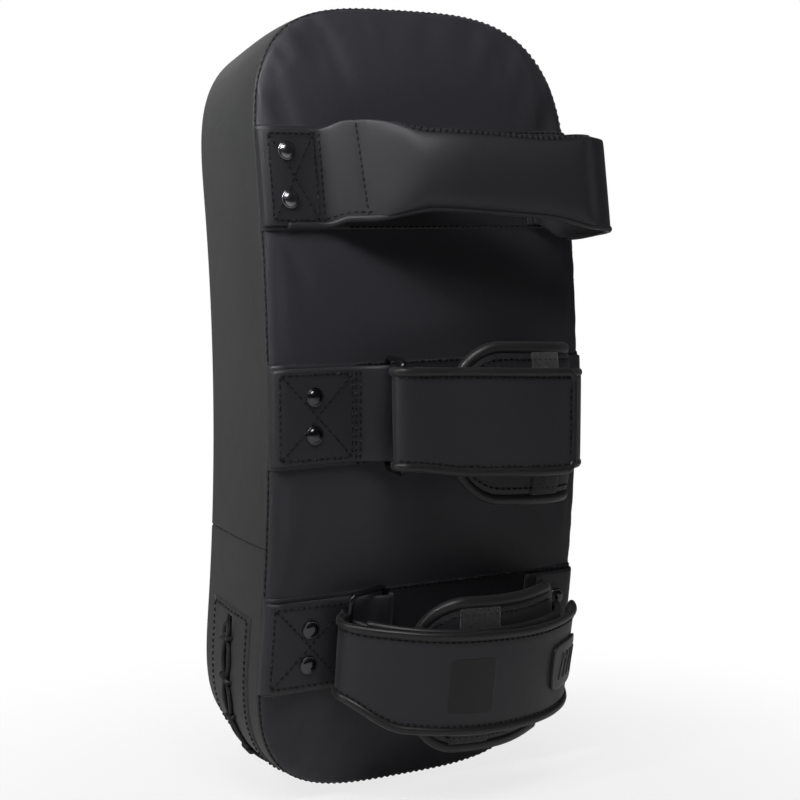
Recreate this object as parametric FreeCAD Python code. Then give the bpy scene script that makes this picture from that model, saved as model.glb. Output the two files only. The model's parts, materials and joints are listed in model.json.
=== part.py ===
"""Curved kick shield: a laced, foam-filled leather pad with a grip handle and two forearm straps.

Frame, in millimetres: +Z runs up the pad, +Y points out of its rear, which carries the straps, and
+X is the side that carries the strap rings. The origin lies on the rear panel, at mid-width and
mid-height. The pad is bent about an axis parallel to X on its strike side, so the panels, the base
bands and the foam layers are parts of concentric cylinders, told apart by their distance rho from
that axis. A height s is an arc length along the rear panel. A station is the local frame at one s:
x across the pad, h out of the panel and w up along it.
"""
import FreeCAD, Part
import math
import os

Vector = FreeCAD.Vector

# The pad
REAR_RHO = 725.0            # outer surface of the rear panel, and the height at which s is measured
REAR_SEAM_RHO = 721.0       # seam between the gusset and the rear panel
STRIKE_SEAM_RHO = 665.0     # seam between the gusset and the strike panel
STRIKE_RHO = 653.0          # outer surface of the crowned strike panel
HALF_WIDTH = 91.0           # from the centre line to a side seam
SIDE_HALF_LENGTH = 106.0    # straight part of a side seam, from mid-height
CAP_HEIGHT = 94.0           # rounded end, from the straight side to the tip
CAP_POWER = 3.4             # exponent of the superellipse that rounds the ends
CAP_STEPS = 12              # spans of the curve that draws one end
GUSSET_BULGE = 3.0          # how far the stuffed gusset stands out past the seams
LEATHER = 2.0               # skin of the pad
GAP = 0.2                   # between pieces that lie against each other
BACKING_GAP = 0.1           # behind a patch, a badge or a rivet's cap
BAND_CLEARANCE = 0.05       # between a base band and the rear panel
CUT_MARGIN = 10.0           # how far a cutting solid runs past what it cuts
STRIKE_ROUND = 12.0         # rolled edge of the strike panel
REAR_ROUND = 4.0            # rolled edge of the rear panel
ROLL_TURN = math.radians(75)  # a rolled edge stops here, to meet the panel's face at a clear angle
ROLL_STEPS = 3
ROLL_RUN_ON = 70.0          # the stuffed body is drawn this far past a rolled edge, then trimmed
ROLL_RUN_ON_INSET = 1.0
RAY_NEAR, RAY_FAR = 600.0, 780.0  # distances between which the outline is carried along its rays
GUSSET_JOIN_S = -66.0       # seam between the upper and the lower gusset strip
FOAM_SPLITS = (677.0, 703.0)  # where the three foam layers meet

# The laced opening in the lower gusset
LACING_TOP_S = -103.5
SLIT_RHO = 693.0
SLIT_WIDTH = 5.0
FACING_WIDTH = 38.0
FACING_THICKNESS = 1.0
TONGUE_WIDTH = 30.0
TONGUE_ROOM = 2.0           # the foam's recess is this much wider than the tongue
SLIT_RUN_ON = 4.0           # from the end of the facing to the end of the slit
CORD_RADIUS = 1.5
CORD_REACH = 8.0            # from the slit's centre to an eyelet
CORD_CLEARANCE = 0.8        # over the facing
CORD_CROSSINGS = 24
CORD_END_MARGIN = 16.0      # from the end of the facing to the first crossing
BOTTOM_EDGE = 2             # the outline's edge that rounds the bottom

# Straps, bands and rivets
BAND_HALF_LENGTH = 87.0
BAND_THICKNESS = 1.2
BAND_MARGIN = 2.0           # a base band stands this far past the strap sewn to it, above and below
SHEET = 2.4                 # two layers of leather sewn back to back
SEWN_HALF_HEIGHT = 23.5     # strap ends and ring tabs
STRAP_HALF_HEIGHT = 25.0
BINDING = 2.0               # width of the edge tape on a strap
BINDING_STAND = 0.4         # how far the tape stands out past the leather
BINDING_START = 0.1         # share of a strap, next to its ring, that has no edge tape
SHARE_OVERLAP = 0.005       # share of a centre line by which joined bands run into each other
PATCH = 0.8                 # hook or loop tape
PATCH_MARGIN = 2.0          # from a patch's edge to the edge tape
HOOK_SHARES = (0.45, 0.95)  # shares of the tail that the hook tape covers
LOOP_SHARES = (0.4, 0.62)   # shares of the strap that the loop tape covers
BINDING_END = 0.93          # share of a strap at which its edge tape stops, before the sewn end
STRAP_SEWN_X = 60.0         # a strap is sewn down from here to the end of its base band
STRAP_SEWN_TOP = 22.0       # upper edge of that sewn end
BADGE_HALF_HEIGHT = 12.0
BADGE_THICKNESS = 1.8
BADGE_SHARES = (0.78, 0.97)
RIVET_HEAD_RADIUS = 4.5
RIVET_HEAD_HEIGHT = 2.4
RIVET_POST_RADIUS = 2.0
RIVET_HOLE_RADIUS = 2.1
WASHER_RADIUS = 6.0
WASHER_THICKNESS = 1.0
WASHER_RECESS = 1.0         # between the rear panel's inside and a washer
WASHER_ROOM = 1.0           # round a washer, in the foam
WASHER_POCKET_DEPTH = 6.0
HOLE_LENGTH = 30.0
POST_IN_HEAD = 0.5          # how far a post runs into its cap

# Rings
WIRE_RADIUS = 1.45
RING_REACH = 25.0           # between the centres of a ring's two long bars
RING_HALF_HEIGHT = 27.2     # from its middle to the centre of a short side
RING_CORNER = 4.0
FOLD_RADIUS = 3.8           # of a strap's middle where it turns round a ring's bar
GATHER = 1.5                # room between a ring's corner and the strap gathered in it
CORNER_ROOM_X = (-8.0, 12.0)  # reach of that room from the free bar
CORNER_ROOM_H = (-12.0, 6.0)
FOLD_ROOM = 30.0            # how far beyond the free bar nothing of the arch stays
TAB_BAR_H = 4.6             # height of the held bar above the panel
TAB_THICKNESS = 3.4         # both layers of the folded tab
TAB_SKIN = 1.6              # one layer, where it wraps the bar
TAB_SEWN_X = 46.0           # the two layers are sewn together beyond this
TAB_WEDGE_X = 43.0          # the eye round the bar narrows to nothing here

# The handle's centre line as (x, h), from its near sewn end over the grip to its far sewn end
HANDLE_S = 113.6
HANDLE_SEWN_X = 60.0
HANDLE_PATH = [(53, 8), (38, 20), (20, 31), (-10, 39), (-45, 44), (-70, 45), (-81, 41), (-84, 32),
               (-80, 18), (-73, 11)]
HANDLE_DROOP = (-2.0, 0.085)
HANDLE_ARM_HALF_HEIGHT = 23.0
GRIP_START, GRIP_END = 0.09, 0.66   # shares of the centre line that the padded grip covers
GRIP_HALF_HEIGHT = 18.5
GRIP_HALF_THICKNESS = 7.0
GRIP_SKIN = 1.2
GRIP_END_WALL = 0.01        # share of the centre line by which the cover closes the grip's ends
GRIP_FOAM_INSET = 0.015
GRIP_WEBBING_INSET = 0.02
WEBBING_HALF_HEIGHT = 14.0
HANDLE_RIVETS = [(79.0, 12.4), (79.0, -10.9), (-79.0, 12.4), (-79.0, -10.9)]

# Each forearm strap: its station, the held bar's x, the ring's other bar, centre lines as (x, h),
# the fold round that bar as (angle at which its half turn starts, lowest w, highest w), the droop of
# the strap as w = first + second * x, and rivets as (x, w)
STRAPS = {
    "middle": {
        "s": -1.5,
        "held_x": 30.0,
        "free_bar": (35.6, 29.0),
        "strap": [(37, 25.1), (32, 25.4), (22, 27.2), (0, 32), (-25, 34.8), (-50, 34.2), (-67, 28),
                  (-76.5, 17), (-73.5, 8), (-66, 4)],
        "tail": [(29.5, 33.4), (15, 35), (0, 37), (-25, 39.8), (-48, 39.4), (-61, 36.4)],
        "forearm": [(4, 22), (-3, 24.6), (-25, 28.2), (-49.5, 27.6), (-62.5, 22.8), (-68.5, 15.5),
                    (-67.5, 11)],
        "fold": (-90, -24.2, 21.4),
        "droop": (-3.0, 0.045),
        "forearm_w": -5.0,
        "rivets": [(70.7, 9.7), (70.7, -8.7), (-80.0, 9.7), (-80.0, -8.7)],
    },
    "lower": {
        "s": -115.8,
        "held_x": 28.0,
        "free_bar": (51.8, 12.2),
        "strap": [(48.1, 10.5), (47.6, 13.5), (43, 20), (33, 29.5), (16, 38), (-5, 42), (-33, 40),
                  (-58, 30), (-72, 18), (-75, 9), (-66, 4)],
        "tail": [(55.2, 18.2), (49, 27), (36, 37), (18, 44.5), (-5, 48.2), (-35, 46), (-61, 36),
                 (-76, 23.5), (-83, 10)],
        "forearm": [(22, 24), (12, 31.4), (-5, 35.2), (-32, 33.2), (-55, 23.3), (-66, 14), (-67.5, 10.5)],
        "fold": (-180, -24.2, 13.6),
        "droop": (-11.0, 0.04),
        "forearm_w": -12.0,
        "rivets": [(69.0, 9.2), (69.0, -9.3), (-80.0, 9.2), (-80.0, -9.3)],
    },
}

FOREARM_HALF_HEIGHT = 38.5
FOREARM_HALF_THICKNESS = 4.0
FOREARM_SKIN = 0.9
FOREARM_END_WALL = 0.015    # share of a cushion's length that its cover's closed ends take
FOREARM_FOAM_INSET = 0.02
FOREARM_TAPE = 3.0          # width of the edge tape
FOREARM_TAPE_INSET = 0.6    # the tape is this much thinner than the cushion, on each face
FOREARM_TAPE_END = 0.8
FOREARM_LOOP_SHARES = (0.25, 0.8)

HUGE = 2000.0
OUT = Vector(0, 1, 0)


def bend_cylinder(rho):
    """The solid cylinder of radius rho about the bend axis."""
    return Part.makeCylinder(rho, HUGE, Vector(-HUGE / 2, -REAR_RHO, 0), Vector(1, 0, 0))


def layer(shape, low, high):
    """The part of shape whose distance from the bend axis lies between low and high."""
    return shape.common(bend_cylinder(high)).cut(bend_cylinder(low))


def sector(low_s, high_s):
    """A wedge that holds every point between two heights."""
    corners = [Vector(-HUGE / 2, -REAR_RHO, 0)]
    for s in (low_s, high_s):
        angle = s / REAR_RHO
        reach = Vector(-HUGE / 2, -REAR_RHO + HUGE * math.cos(angle), HUGE * math.sin(angle))
        corners.append(reach)
    corners.append(corners[0])
    return Part.Face(Part.makePolygon(corners)).extrude(Vector(HUGE, 0, 0))


def outline(grow, distance, flat=False):
    """The pad's outline, grown outwards: bent onto the cylinder rho = distance, or on a flat plane.

    Both kinds share the same rays from the bend axis, so a loft between them is a straight gusset.
    """
    half_width = HALF_WIDTH + grow
    cap = CAP_HEIGHT + grow

    def carried(x, s):
        angle = s / REAR_SEAM_RHO
        rho = distance / math.cos(angle) if flat else distance
        return Vector(x, rho * math.cos(angle) - REAR_RHO, rho * math.sin(angle))

    def cap_curve(sign):
        points = [carried(sign * half_width, sign * SIDE_HALF_LENGTH)]
        for step in range(1, CAP_STEPS):
            turn = math.pi * step / CAP_STEPS
            x = half_width * abs(math.cos(turn)) ** (2 / CAP_POWER) * math.copysign(1, math.cos(turn))
            s = SIDE_HALF_LENGTH + cap * math.sin(turn) ** (2 / CAP_POWER)
            points.append(carried(sign * x, sign * s))
        points.append(carried(-sign * half_width, sign * SIDE_HALF_LENGTH))
        slope = 0.0 if flat else SIDE_HALF_LENGTH / REAR_SEAM_RHO
        leave = Vector(0, -math.sin(slope), sign * math.cos(slope))
        curve = Part.BSplineCurve()
        curve.interpolate(Points=points, InitialTangent=leave, FinalTangent=-leave)
        return curve.toShape()

    def side(x, sign):
        ends = [carried(x, sign * SIDE_HALF_LENGTH), carried(x, -sign * SIDE_HALF_LENGTH)]
        if flat:
            return Part.makeLine(ends[0], ends[1])
        return Part.Arc(ends[0], carried(x, 0), ends[1]).toShape()

    return Part.Wire([cap_curve(1), side(-half_width, 1), cap_curve(-1), side(half_width, -1)])


def prism(grow, low, high):
    """The pad's outline carried along rays from the bend axis, between two distances from it."""
    loft = Part.makeLoft([outline(grow, RAY_NEAR, True), outline(grow, RAY_FAR, True)], True, True)
    return layer(loft, low, high)


def pillow(inset):
    """The stuffed body, or its inside at an inset, with the rolled edges of both panels."""
    grow = GUSSET_BULGE - inset
    sections = []
    for edge_rho, radius, way in ((STRIKE_SEAM_RHO, STRIKE_ROUND, -1), (REAR_SEAM_RHO, REAR_ROUND, 1)):
        round_radius = radius - inset
        roll = []
        for step in range(ROLL_STEPS + 1):
            turn = ROLL_TURN * step / ROLL_STEPS
            rho = edge_rho + way * round_radius * math.sin(turn)
            roll.append(outline(grow - round_radius * (1 - math.cos(turn)), rho))
        last_grow = grow - round_radius * (1 - math.cos(ROLL_TURN))
        roll.append(outline(last_grow - ROLL_RUN_ON_INSET, edge_rho + way * ROLL_RUN_ON, True))
        sections += roll[::-1] if way < 0 else roll
    loft = Part.makeLoft(sections, True, True)
    return layer(loft, STRIKE_RHO + inset, REAR_RHO - inset)


def station(s):
    """The placement that carries local (x, h, w) to the pad at height s."""
    turn = FreeCAD.Rotation(Vector(1, 0, 0), math.degrees(s / REAR_RHO))
    return FreeCAD.Placement(turn.multVec(Vector(0, REAR_RHO, 0)) - Vector(0, REAR_RHO, 0), turn)


def placed(shape, s):
    """shape, drawn in local coordinates, at the station s."""
    shape.Placement = station(s).multiply(shape.Placement)
    return shape


def smooth(points):
    """A curve through points given as (x, h)."""
    curve = Part.BSplineCurve()
    curve.interpolate([Vector(x, h, 0) for x, h in points])
    return curve


def band(points, near, far, low, high, droop, start=0.0, end=1.0):
    """A band along a centre line, between two offsets from it and between two heights w.

    Its profile lies in the tilted plane w = first + second * x that droop gives, and is extruded
    along w. start and end are the shares of the centre line's length that the band covers.
    """
    first, second = droop
    curve = smooth(points)
    length = curve.length()
    samples = 4 * len(points)
    sides = ([], [])
    for step in range(samples + 1):
        share = start + (end - start) * step / samples
        u = curve.parameterAtDistance(share * length, curve.FirstParameter)
        point, along = curve.getD1(u)
        across = Vector(along.y, -along.x, 0).normalize()
        for side, offset in zip(sides, (near, far)):
            place = point + across * offset
            side.append(place + Vector(0, 0, first + second * place.x))
    edges = []
    for side in sides:
        line = Part.BSplineCurve()
        line.interpolate(side)
        edges.append(line.toShape())
    edges.append(Part.makeLine(sides[0][0], sides[1][0]))
    edges.append(Part.makeLine(sides[0][-1], sides[1][-1]))
    face = Part.Face(Part.Wire(Part.__sortEdges__(edges)))
    face.translate(Vector(0, 0, low))
    return face.extrude(Vector(0, 0, high - low))


def plate(x_low, x_high, h_low, h_high, w_low, w_high):
    """A flat block in local coordinates."""
    return Part.makeBox(x_high - x_low, h_high - h_low, w_high - w_low, Vector(x_low, h_low, w_low))


def bent_plate(s, x_low, x_high, h_low, h_high, half_height):
    """A plate that follows the panel's curve around the station s."""
    block = plate(x_low, x_high, h_low - CUT_MARGIN, h_high + CUT_MARGIN, -half_height, half_height)
    return layer(placed(block, s), REAR_RHO + h_low, REAR_RHO + h_high)


def base_band(s, holes):
    """The band sewn across the rear panel under a handle or strap."""
    half_height = SEWN_HALF_HEIGHT + BAND_MARGIN
    base = bent_plate(s, -BAND_HALF_LENGTH, BAND_HALF_LENGTH, BAND_CLEARANCE, BAND_THICKNESS, half_height)
    return base.cut(holes)


def rivet_holes(s, rivets):
    """Clearance cylinders for the posts of rivets, to cut from every layer they pass through."""
    holes = []
    for x, w in rivets:
        hole = Part.makeCylinder(RIVET_HOLE_RADIUS, HOLE_LENGTH, Vector(x, -HOLE_LENGTH / 2, w), OUT)
        holes.append(placed(hole, s))
    return Part.makeCompound(holes)


def rivet_set(s, rivets, stack_heights):
    """Domed rivets with their posts, and the washers that they hold inside the rear panel."""
    heads = []
    washers = []
    washer_h = -LEATHER - WASHER_RECESS - WASHER_THICKNESS
    for (x, w), top in zip(rivets, stack_heights):
        seat = top + GAP
        dome_radius = (RIVET_HEAD_RADIUS ** 2 + RIVET_HEAD_HEIGHT ** 2) / (2 * RIVET_HEAD_HEIGHT)
        ball = Part.makeSphere(dome_radius, Vector(x, seat + RIVET_HEAD_HEIGHT - dome_radius, w))
        keep = Part.makeCylinder(RIVET_HEAD_RADIUS, RIVET_HEAD_HEIGHT, Vector(x, seat, w), OUT)
        foot = Vector(x, washer_h, w)
        post = Part.makeCylinder(RIVET_POST_RADIUS, seat - washer_h + POST_IN_HEAD, foot, OUT)
        heads.append(placed(ball.common(keep).fuse(post), s))
        washer = Part.makeCylinder(WASHER_RADIUS, WASHER_THICKNESS, foot, OUT)
        bore = Part.makeCylinder(RIVET_HOLE_RADIUS, WASHER_THICKNESS, foot, OUT)
        washers.append(placed(washer.cut(bore), s))
    return Part.makeCompound(heads), Part.makeCompound(washers)


def washer_room(s, rivets):
    """Pockets in the foam that clear the washers and the ends of the rivet posts."""
    depth = WASHER_POCKET_DEPTH
    pockets = []
    for x, w in rivets:
        pocket = Part.makeCylinder(WASHER_RADIUS + WASHER_ROOM, depth, Vector(x, -LEATHER - depth, w), OUT)
        pockets.append(placed(pocket, s))
    return Part.makeCompound(pockets)


def lacing_band(grow_low, grow_high, width):
    """A strip that follows the gusset round the bottom of the pad, centred on the slit."""
    low = SLIT_RHO - width / 2
    high = SLIT_RHO + width / 2
    ring = prism(grow_high, low, high).cut(prism(grow_low, low - CUT_MARGIN, high + CUT_MARGIN))
    return ring.common(sector(-REAR_RHO, LACING_TOP_S))


def slit():
    """The slot that parts the gusset and its facing for the lacing."""
    low = SLIT_RHO - SLIT_WIDTH / 2
    high = SLIT_RHO + SLIT_WIDTH / 2
    return prism(GUSSET_BULGE + CUT_MARGIN, low, high).common(sector(-REAR_RHO, LACING_TOP_S - SLIT_RUN_ON))


def lace_cord():
    """The cord, crossing from one side of the slit to the other as it runs round the bottom."""
    grow = GUSSET_BULGE + FACING_THICKNESS + CORD_RADIUS + CORD_CLEARANCE
    edge_path = outline(grow, SLIT_RHO)
    bottom = Part.Wire([edge_path.Edges[BOTTOM_EDGE]])
    points = []
    for step, place in enumerate(bottom.discretize(2 * CORD_CROSSINGS + 1)):
        angle = math.atan2(place.z, place.y + REAR_RHO)
        if angle * REAR_RHO > LACING_TOP_S - CORD_END_MARGIN:
            continue
        rho = SLIT_RHO + CORD_REACH * math.cos(math.pi * step / 2)
        points.append(Vector(place.x, -REAR_RHO + rho * math.cos(angle), rho * math.sin(angle)))
    knots = [Part.makeSphere(CORD_RADIUS, point) for point in points]
    runs = []
    for begin, end in zip(points, points[1:]):
        runs.append(Part.makeCylinder(CORD_RADIUS, (end - begin).Length, begin, end - begin))
    return knots[0].fuse(knots[1:] + runs)


def ring_tab(held_x, s):
    """The leather tab sewn to the panel and folded round the ring's held bar, with its eye."""
    bottom = BAND_THICKNESS + GAP
    top = bottom + TAB_THICKNESS
    outer = WIRE_RADIUS + GAP + TAB_SKIN
    eye = WIRE_RADIUS + GAP
    middle_h = bottom + TAB_THICKNESS / 2

    def nose(radius, far_points):
        """A closed outline with a round nose about the bar and straight sides to far_points."""
        low = Vector(held_x, TAB_BAR_H - radius, 0)
        high = Vector(held_x, TAB_BAR_H + radius, 0)
        arc = Part.Arc(low, Vector(held_x - radius, TAB_BAR_H, 0), high).toShape()
        corners = [high] + [Vector(x, h, 0) for x, h in far_points] + [low]
        return Part.Face(Part.Wire([arc] + Part.makePolygon(corners).Edges))

    body = nose(outer, [(TAB_SEWN_X, top), (BAND_HALF_LENGTH, top), (BAND_HALF_LENGTH, bottom)])
    opening = nose(eye, [(TAB_WEDGE_X, middle_h)])
    face = body.cut(opening)
    face.translate(Vector(0, 0, -SEWN_HALF_HEIGHT))
    return placed(face.extrude(Vector(0, 0, 2 * SEWN_HALF_HEIGHT)), s)


def ring(held_x, free_bar, s):
    """A rectangular wire ring standing from the held bar to the bar that the strap folds round."""
    held = Vector(held_x, TAB_BAR_H, 0)
    reach = (Vector(free_bar[0], free_bar[1], 0) - held).normalize() * RING_REACH
    up = Vector(0, 0, RING_HALF_HEIGHT)
    side = Vector(reach).normalize() * RING_CORNER
    rise = Vector(0, 0, RING_CORNER)
    bend = 1 - math.sqrt(0.5)
    corners = [(held - up, side, rise), (held + reach - up, rise, -side),
               (held + reach + up, -side, -rise), (held + up, -rise, side)]
    edges = []
    previous = None
    for corner, leave, arrive in corners:
        begin = corner + arrive
        finish = corner + leave
        middle = corner + (arrive + leave) * bend
        if previous is not None:
            edges.append(Part.makeLine(previous, begin))
        edges.append(Part.Arc(begin, middle, finish).toShape())
        previous = finish
    edges.append(Part.makeLine(previous, corners[0][0] + corners[0][2]))
    spine = Part.Wire(edges)
    start = edges[1].valueAt(edges[1].FirstParameter)
    profile = Part.Wire([Part.makeCircle(WIRE_RADIUS, start, reach)])
    return placed(spine.makePipeShell([profile], True, True), s)


def ring_corner_room(free_bar):
    """The room that a ring's lower corner needs where it gathers the strap folded round it."""
    x, h = free_bar
    top = -RING_HALF_HEIGHT + WIRE_RADIUS + GATHER
    x_low, x_high = CORNER_ROOM_X
    h_low, h_high = CORNER_ROOM_H
    return plate(x + x_low, x + x_high, h + h_low, h + h_high, -2 * RING_HALF_HEIGHT, top)


def strap_fold(free_bar, fold):
    """The half turn of a strap round a ring's bar, and the room beyond it that the arch leaves free."""
    x, h = free_bar
    start, low, high = fold
    bar = Vector(x, h, low)
    axis = Vector(0, 0, 1)
    turn = Part.makeCylinder(FOLD_RADIUS + SHEET / 2, high - low, bar, axis, 180)
    turn = turn.cut(Part.makeCylinder(FOLD_RADIUS - SHEET / 2, high - low, bar, axis))
    turn.rotate(bar, axis, start)
    tall = 2 * RING_HALF_HEIGHT
    beyond = plate(x, x + FOLD_ROOM, h - FOLD_ROOM, h + FOLD_ROOM, -tall, tall)
    beyond.rotate(bar, axis, start + 90)
    return turn, beyond


def edge_tapes(points, half_thickness, half_height, width, droop, start=0.0, end=1.0):
    """The two tapes that bind a band's upper and lower edges, as one pair of solids."""
    tapes = []
    for low, high in ((-half_height, -half_height + width), (half_height - width, half_height)):
        tapes.append(band(points, -half_thickness, half_thickness, low, high, droop, start, end))
    return Part.makeCompound(tapes)


def build_pad(all_rivets):
    """The stuffed pad: panels, gusset strips, foam and the laced opening."""
    body = pillow(0.0)
    inside = pillow(LEATHER)
    skin = body.cut(inside)
    parts = {}
    holes = Part.makeCompound([rivet_holes(s, rivets) for s, rivets in all_rivets])
    parts["strike_panel"] = layer(skin, STRIKE_RHO - CUT_MARGIN, STRIKE_SEAM_RHO - GAP)
    parts["rear_panel"] = layer(skin, REAR_SEAM_RHO + GAP, REAR_RHO + CUT_MARGIN).cut(holes)
    gusset = layer(skin, STRIKE_SEAM_RHO, REAR_SEAM_RHO)
    parts["gusset_upper"] = gusset.common(sector(GUSSET_JOIN_S + GAP, REAR_RHO))
    lower = gusset.common(sector(-REAR_RHO, GUSSET_JOIN_S))
    opening = slit()
    parts["gusset_lower"] = lower.cut(opening)
    facing_outer = GUSSET_BULGE + GAP + FACING_THICKNESS
    facing = lacing_band(GUSSET_BULGE - FACING_THICKNESS, facing_outer, FACING_WIDTH)
    parts["lacing_facing"] = facing.cut(pillow(-GAP)).cut(opening)
    tongue_outer = GUSSET_BULGE - LEATHER - GAP
    parts["lace_tongue"] = lacing_band(tongue_outer - FACING_THICKNESS, tongue_outer, TONGUE_WIDTH)
    parts["lace_cord"] = lace_cord()

    foam = pillow(LEATHER + GAP)
    tongue_inner = tongue_outer - FACING_THICKNESS - GAP
    tongue_room = lacing_band(tongue_inner, tongue_outer + CUT_MARGIN, TONGUE_WIDTH + TONGUE_ROOM)
    pockets = Part.makeCompound([washer_room(s, rivets) for s, rivets in all_rivets])
    foam = foam.cut(tongue_room)
    low_split, high_split = FOAM_SPLITS
    parts["strike_foam"] = layer(foam, STRIKE_RHO - CUT_MARGIN, low_split - GAP)
    parts["core_foam"] = layer(foam, low_split, high_split - GAP)
    parts["rear_foam"] = layer(foam, high_split, REAR_RHO + CUT_MARGIN).cut(pockets)
    return parts


def build_handle():
    """The handle: its base band, sewn ends and rivets, and the padded grip that swings on them."""
    s = HANDLE_S
    holes = rivet_holes(s, HANDLE_RIVETS)
    bottom = BAND_THICKNESS + GAP
    top = bottom + SHEET
    parts = {}
    parts["handle_base_band"] = base_band(s, holes)
    for name, x_low, x_high in (("handle_end_left", -BAND_HALF_LENGTH, -HANDLE_SEWN_X),
                                ("handle_end_right", HANDLE_SEWN_X, BAND_HALF_LENGTH)):
        parts[name] = bent_plate(s, x_low, x_high, bottom, top, SEWN_HALF_HEIGHT).cut(holes)
    stack = [top + BACKING_GAP] * len(HANDLE_RIVETS)
    parts["handle_rivets"], parts["handle_rivet_washers"] = rivet_set(s, HANDLE_RIVETS, stack)

    def grip_piece(half_thickness, half_height, start=GRIP_START, end=GRIP_END):
        return band(HANDLE_PATH, -half_thickness, half_thickness, -half_height, half_height,
                    HANDLE_DROOP, start, end)

    inner_thickness = GRIP_HALF_THICKNESS - GRIP_SKIN
    inner_height = GRIP_HALF_HEIGHT - GRIP_SKIN
    tube = grip_piece(GRIP_HALF_THICKNESS, GRIP_HALF_HEIGHT).cut(
        grip_piece(inner_thickness, inner_height, GRIP_START + GRIP_END_WALL, GRIP_END - GRIP_END_WALL))
    near_arm = grip_piece(SHEET / 2, HANDLE_ARM_HALF_HEIGHT, 0.0, GRIP_START + SHARE_OVERLAP)
    far_arm = grip_piece(SHEET / 2, HANDLE_ARM_HALF_HEIGHT, GRIP_END - SHARE_OVERLAP, 1.0)
    cover = tube.fuse([near_arm, far_arm])
    slot = grip_piece(SHEET / 2 + GAP, WEBBING_HALF_HEIGHT + GAP, GRIP_START, GRIP_END)
    foam = grip_piece(inner_thickness - GAP, inner_height - GAP,
                      GRIP_START + GRIP_FOAM_INSET, GRIP_END - GRIP_FOAM_INSET)
    webbing = grip_piece(SHEET / 2, WEBBING_HALF_HEIGHT,
                         GRIP_START + GRIP_WEBBING_INSET, GRIP_END - GRIP_WEBBING_INSET)
    for name, shape in (("handle_cover", cover), ("handle_foam", foam.cut(slot)),
                        ("handle_webbing", webbing)):
        parts[name] = placed(shape, s)
    return parts


def build_strap(name, spec):
    """One forearm strap: band, ring tab and ring, strap, tail, forearm pad and rivets."""
    s = spec["s"]
    droop = spec["droop"]
    holes = rivet_holes(s, spec["rivets"])
    bottom = BAND_THICKNESS + GAP
    half_sheet = SHEET / 2
    parts = {}
    parts["base_band"] = base_band(s, holes)
    parts["ring_tab"] = ring_tab(spec["held_x"], s).cut(holes)
    parts["ring"] = ring(spec["held_x"], spec["free_bar"], s)
    strap_end_top = bottom + SHEET
    stack = [bottom + TAB_THICKNESS if x > 0 else strap_end_top for x, w in spec["rivets"]]
    parts["rivets"], parts["rivet_washers"] = rivet_set(s, spec["rivets"], stack)

    inner_half = STRAP_HALF_HEIGHT - BINDING - GAP / 2
    sewn_end = placed(plate(-BAND_HALF_LENGTH, -STRAP_SEWN_X, bottom, strap_end_top,
                            -SEWN_HALF_HEIGHT, STRAP_SEWN_TOP), s)
    arch = band(spec["strap"], -half_sheet, half_sheet, -inner_half, inner_half, droop)
    fold, beyond = strap_fold(spec["free_bar"], spec["fold"])
    arch = arch.cut(beyond).cut(ring_corner_room(spec["free_bar"]))
    parts["strap"] = placed(arch.fuse(fold), s).fuse(sewn_end).cut(holes)
    tape = half_sheet + BINDING_STAND
    parts["strap_binding"] = placed(edge_tapes(
        spec["strap"], tape, STRAP_HALF_HEIGHT, BINDING, droop, BINDING_START, BINDING_END), s)
    parts["tail_binding"] = placed(edge_tapes(
        spec["tail"], tape, STRAP_HALF_HEIGHT, BINDING, droop), s)
    patch_half = inner_half - PATCH_MARGIN
    patch_low = half_sheet + BACKING_GAP
    patch_high = patch_low + PATCH

    def along(path, near, far, half_height, shares=(0.0, 1.0)):
        return placed(band(spec[path], near, far, -half_height, half_height, droop, *shares), s)

    parts["tail"] = along("tail", -half_sheet, half_sheet, inner_half)
    parts["hook_patch"] = along("tail", -patch_high, -patch_low, patch_half, HOOK_SHARES)
    parts["loop_patch"] = along("strap", patch_low, patch_high, patch_half, LOOP_SHARES)

    forearm_droop = (spec["forearm_w"], droop[1])
    half = FOREARM_HALF_THICKNESS
    core_half = FOREARM_HALF_HEIGHT - FOREARM_TAPE - GAP
    skin = FOREARM_SKIN

    def forearm_piece(near, far, half_height, start=0.0, end=1.0):
        piece = band(spec["forearm"], near, far, -half_height, half_height, forearm_droop, start, end)
        return placed(piece, s)

    void = forearm_piece(skin - half, half - skin, core_half - skin, FOREARM_END_WALL, 1 - FOREARM_END_WALL)
    parts["forearm_cover"] = forearm_piece(-half, half, core_half).cut(void)
    foam_half = half - skin - GAP
    parts["forearm_foam"] = forearm_piece(-foam_half, foam_half, core_half - skin - GAP,
                                          FOREARM_FOAM_INSET, 1 - FOREARM_FOAM_INSET)
    parts["forearm_binding"] = placed(edge_tapes(
        spec["forearm"], half - FOREARM_TAPE_INSET, FOREARM_HALF_HEIGHT, FOREARM_TAPE, forearm_droop,
        0.0, FOREARM_TAPE_END), s)
    parts["forearm_loop"] = forearm_piece(half + BACKING_GAP, half + BACKING_GAP + PATCH, patch_half,
                                          *FOREARM_LOOP_SHARES)
    if name == "lower":
        badge_high = patch_low + BADGE_THICKNESS
        parts["badge"] = along("tail", patch_low, badge_high, BADGE_HALF_HEIGHT, BADGE_SHARES)
    return {name + "_" + key: shape for key, shape in parts.items()}


def main():
    os.makedirs("parts", exist_ok=True)
    all_rivets = [(HANDLE_S, HANDLE_RIVETS)] + [(spec["s"], spec["rivets"]) for spec in STRAPS.values()]
    parts = build_pad(all_rivets)
    parts.update(build_handle())
    for name, spec in STRAPS.items():
        parts.update(build_strap(name, spec))
    for name, shape in parts.items():
        solids = shape.Solids
        kept = solids[0] if len(solids) == 1 else Part.makeCompound(solids)
        kept.exportStep("parts/" + name + ".step")
        volume = sum(solid.Volume for solid in solids) / 1000
        print(name, len(solids), kept.isValid(), round(volume, 2), "cm3")


main()
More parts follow.
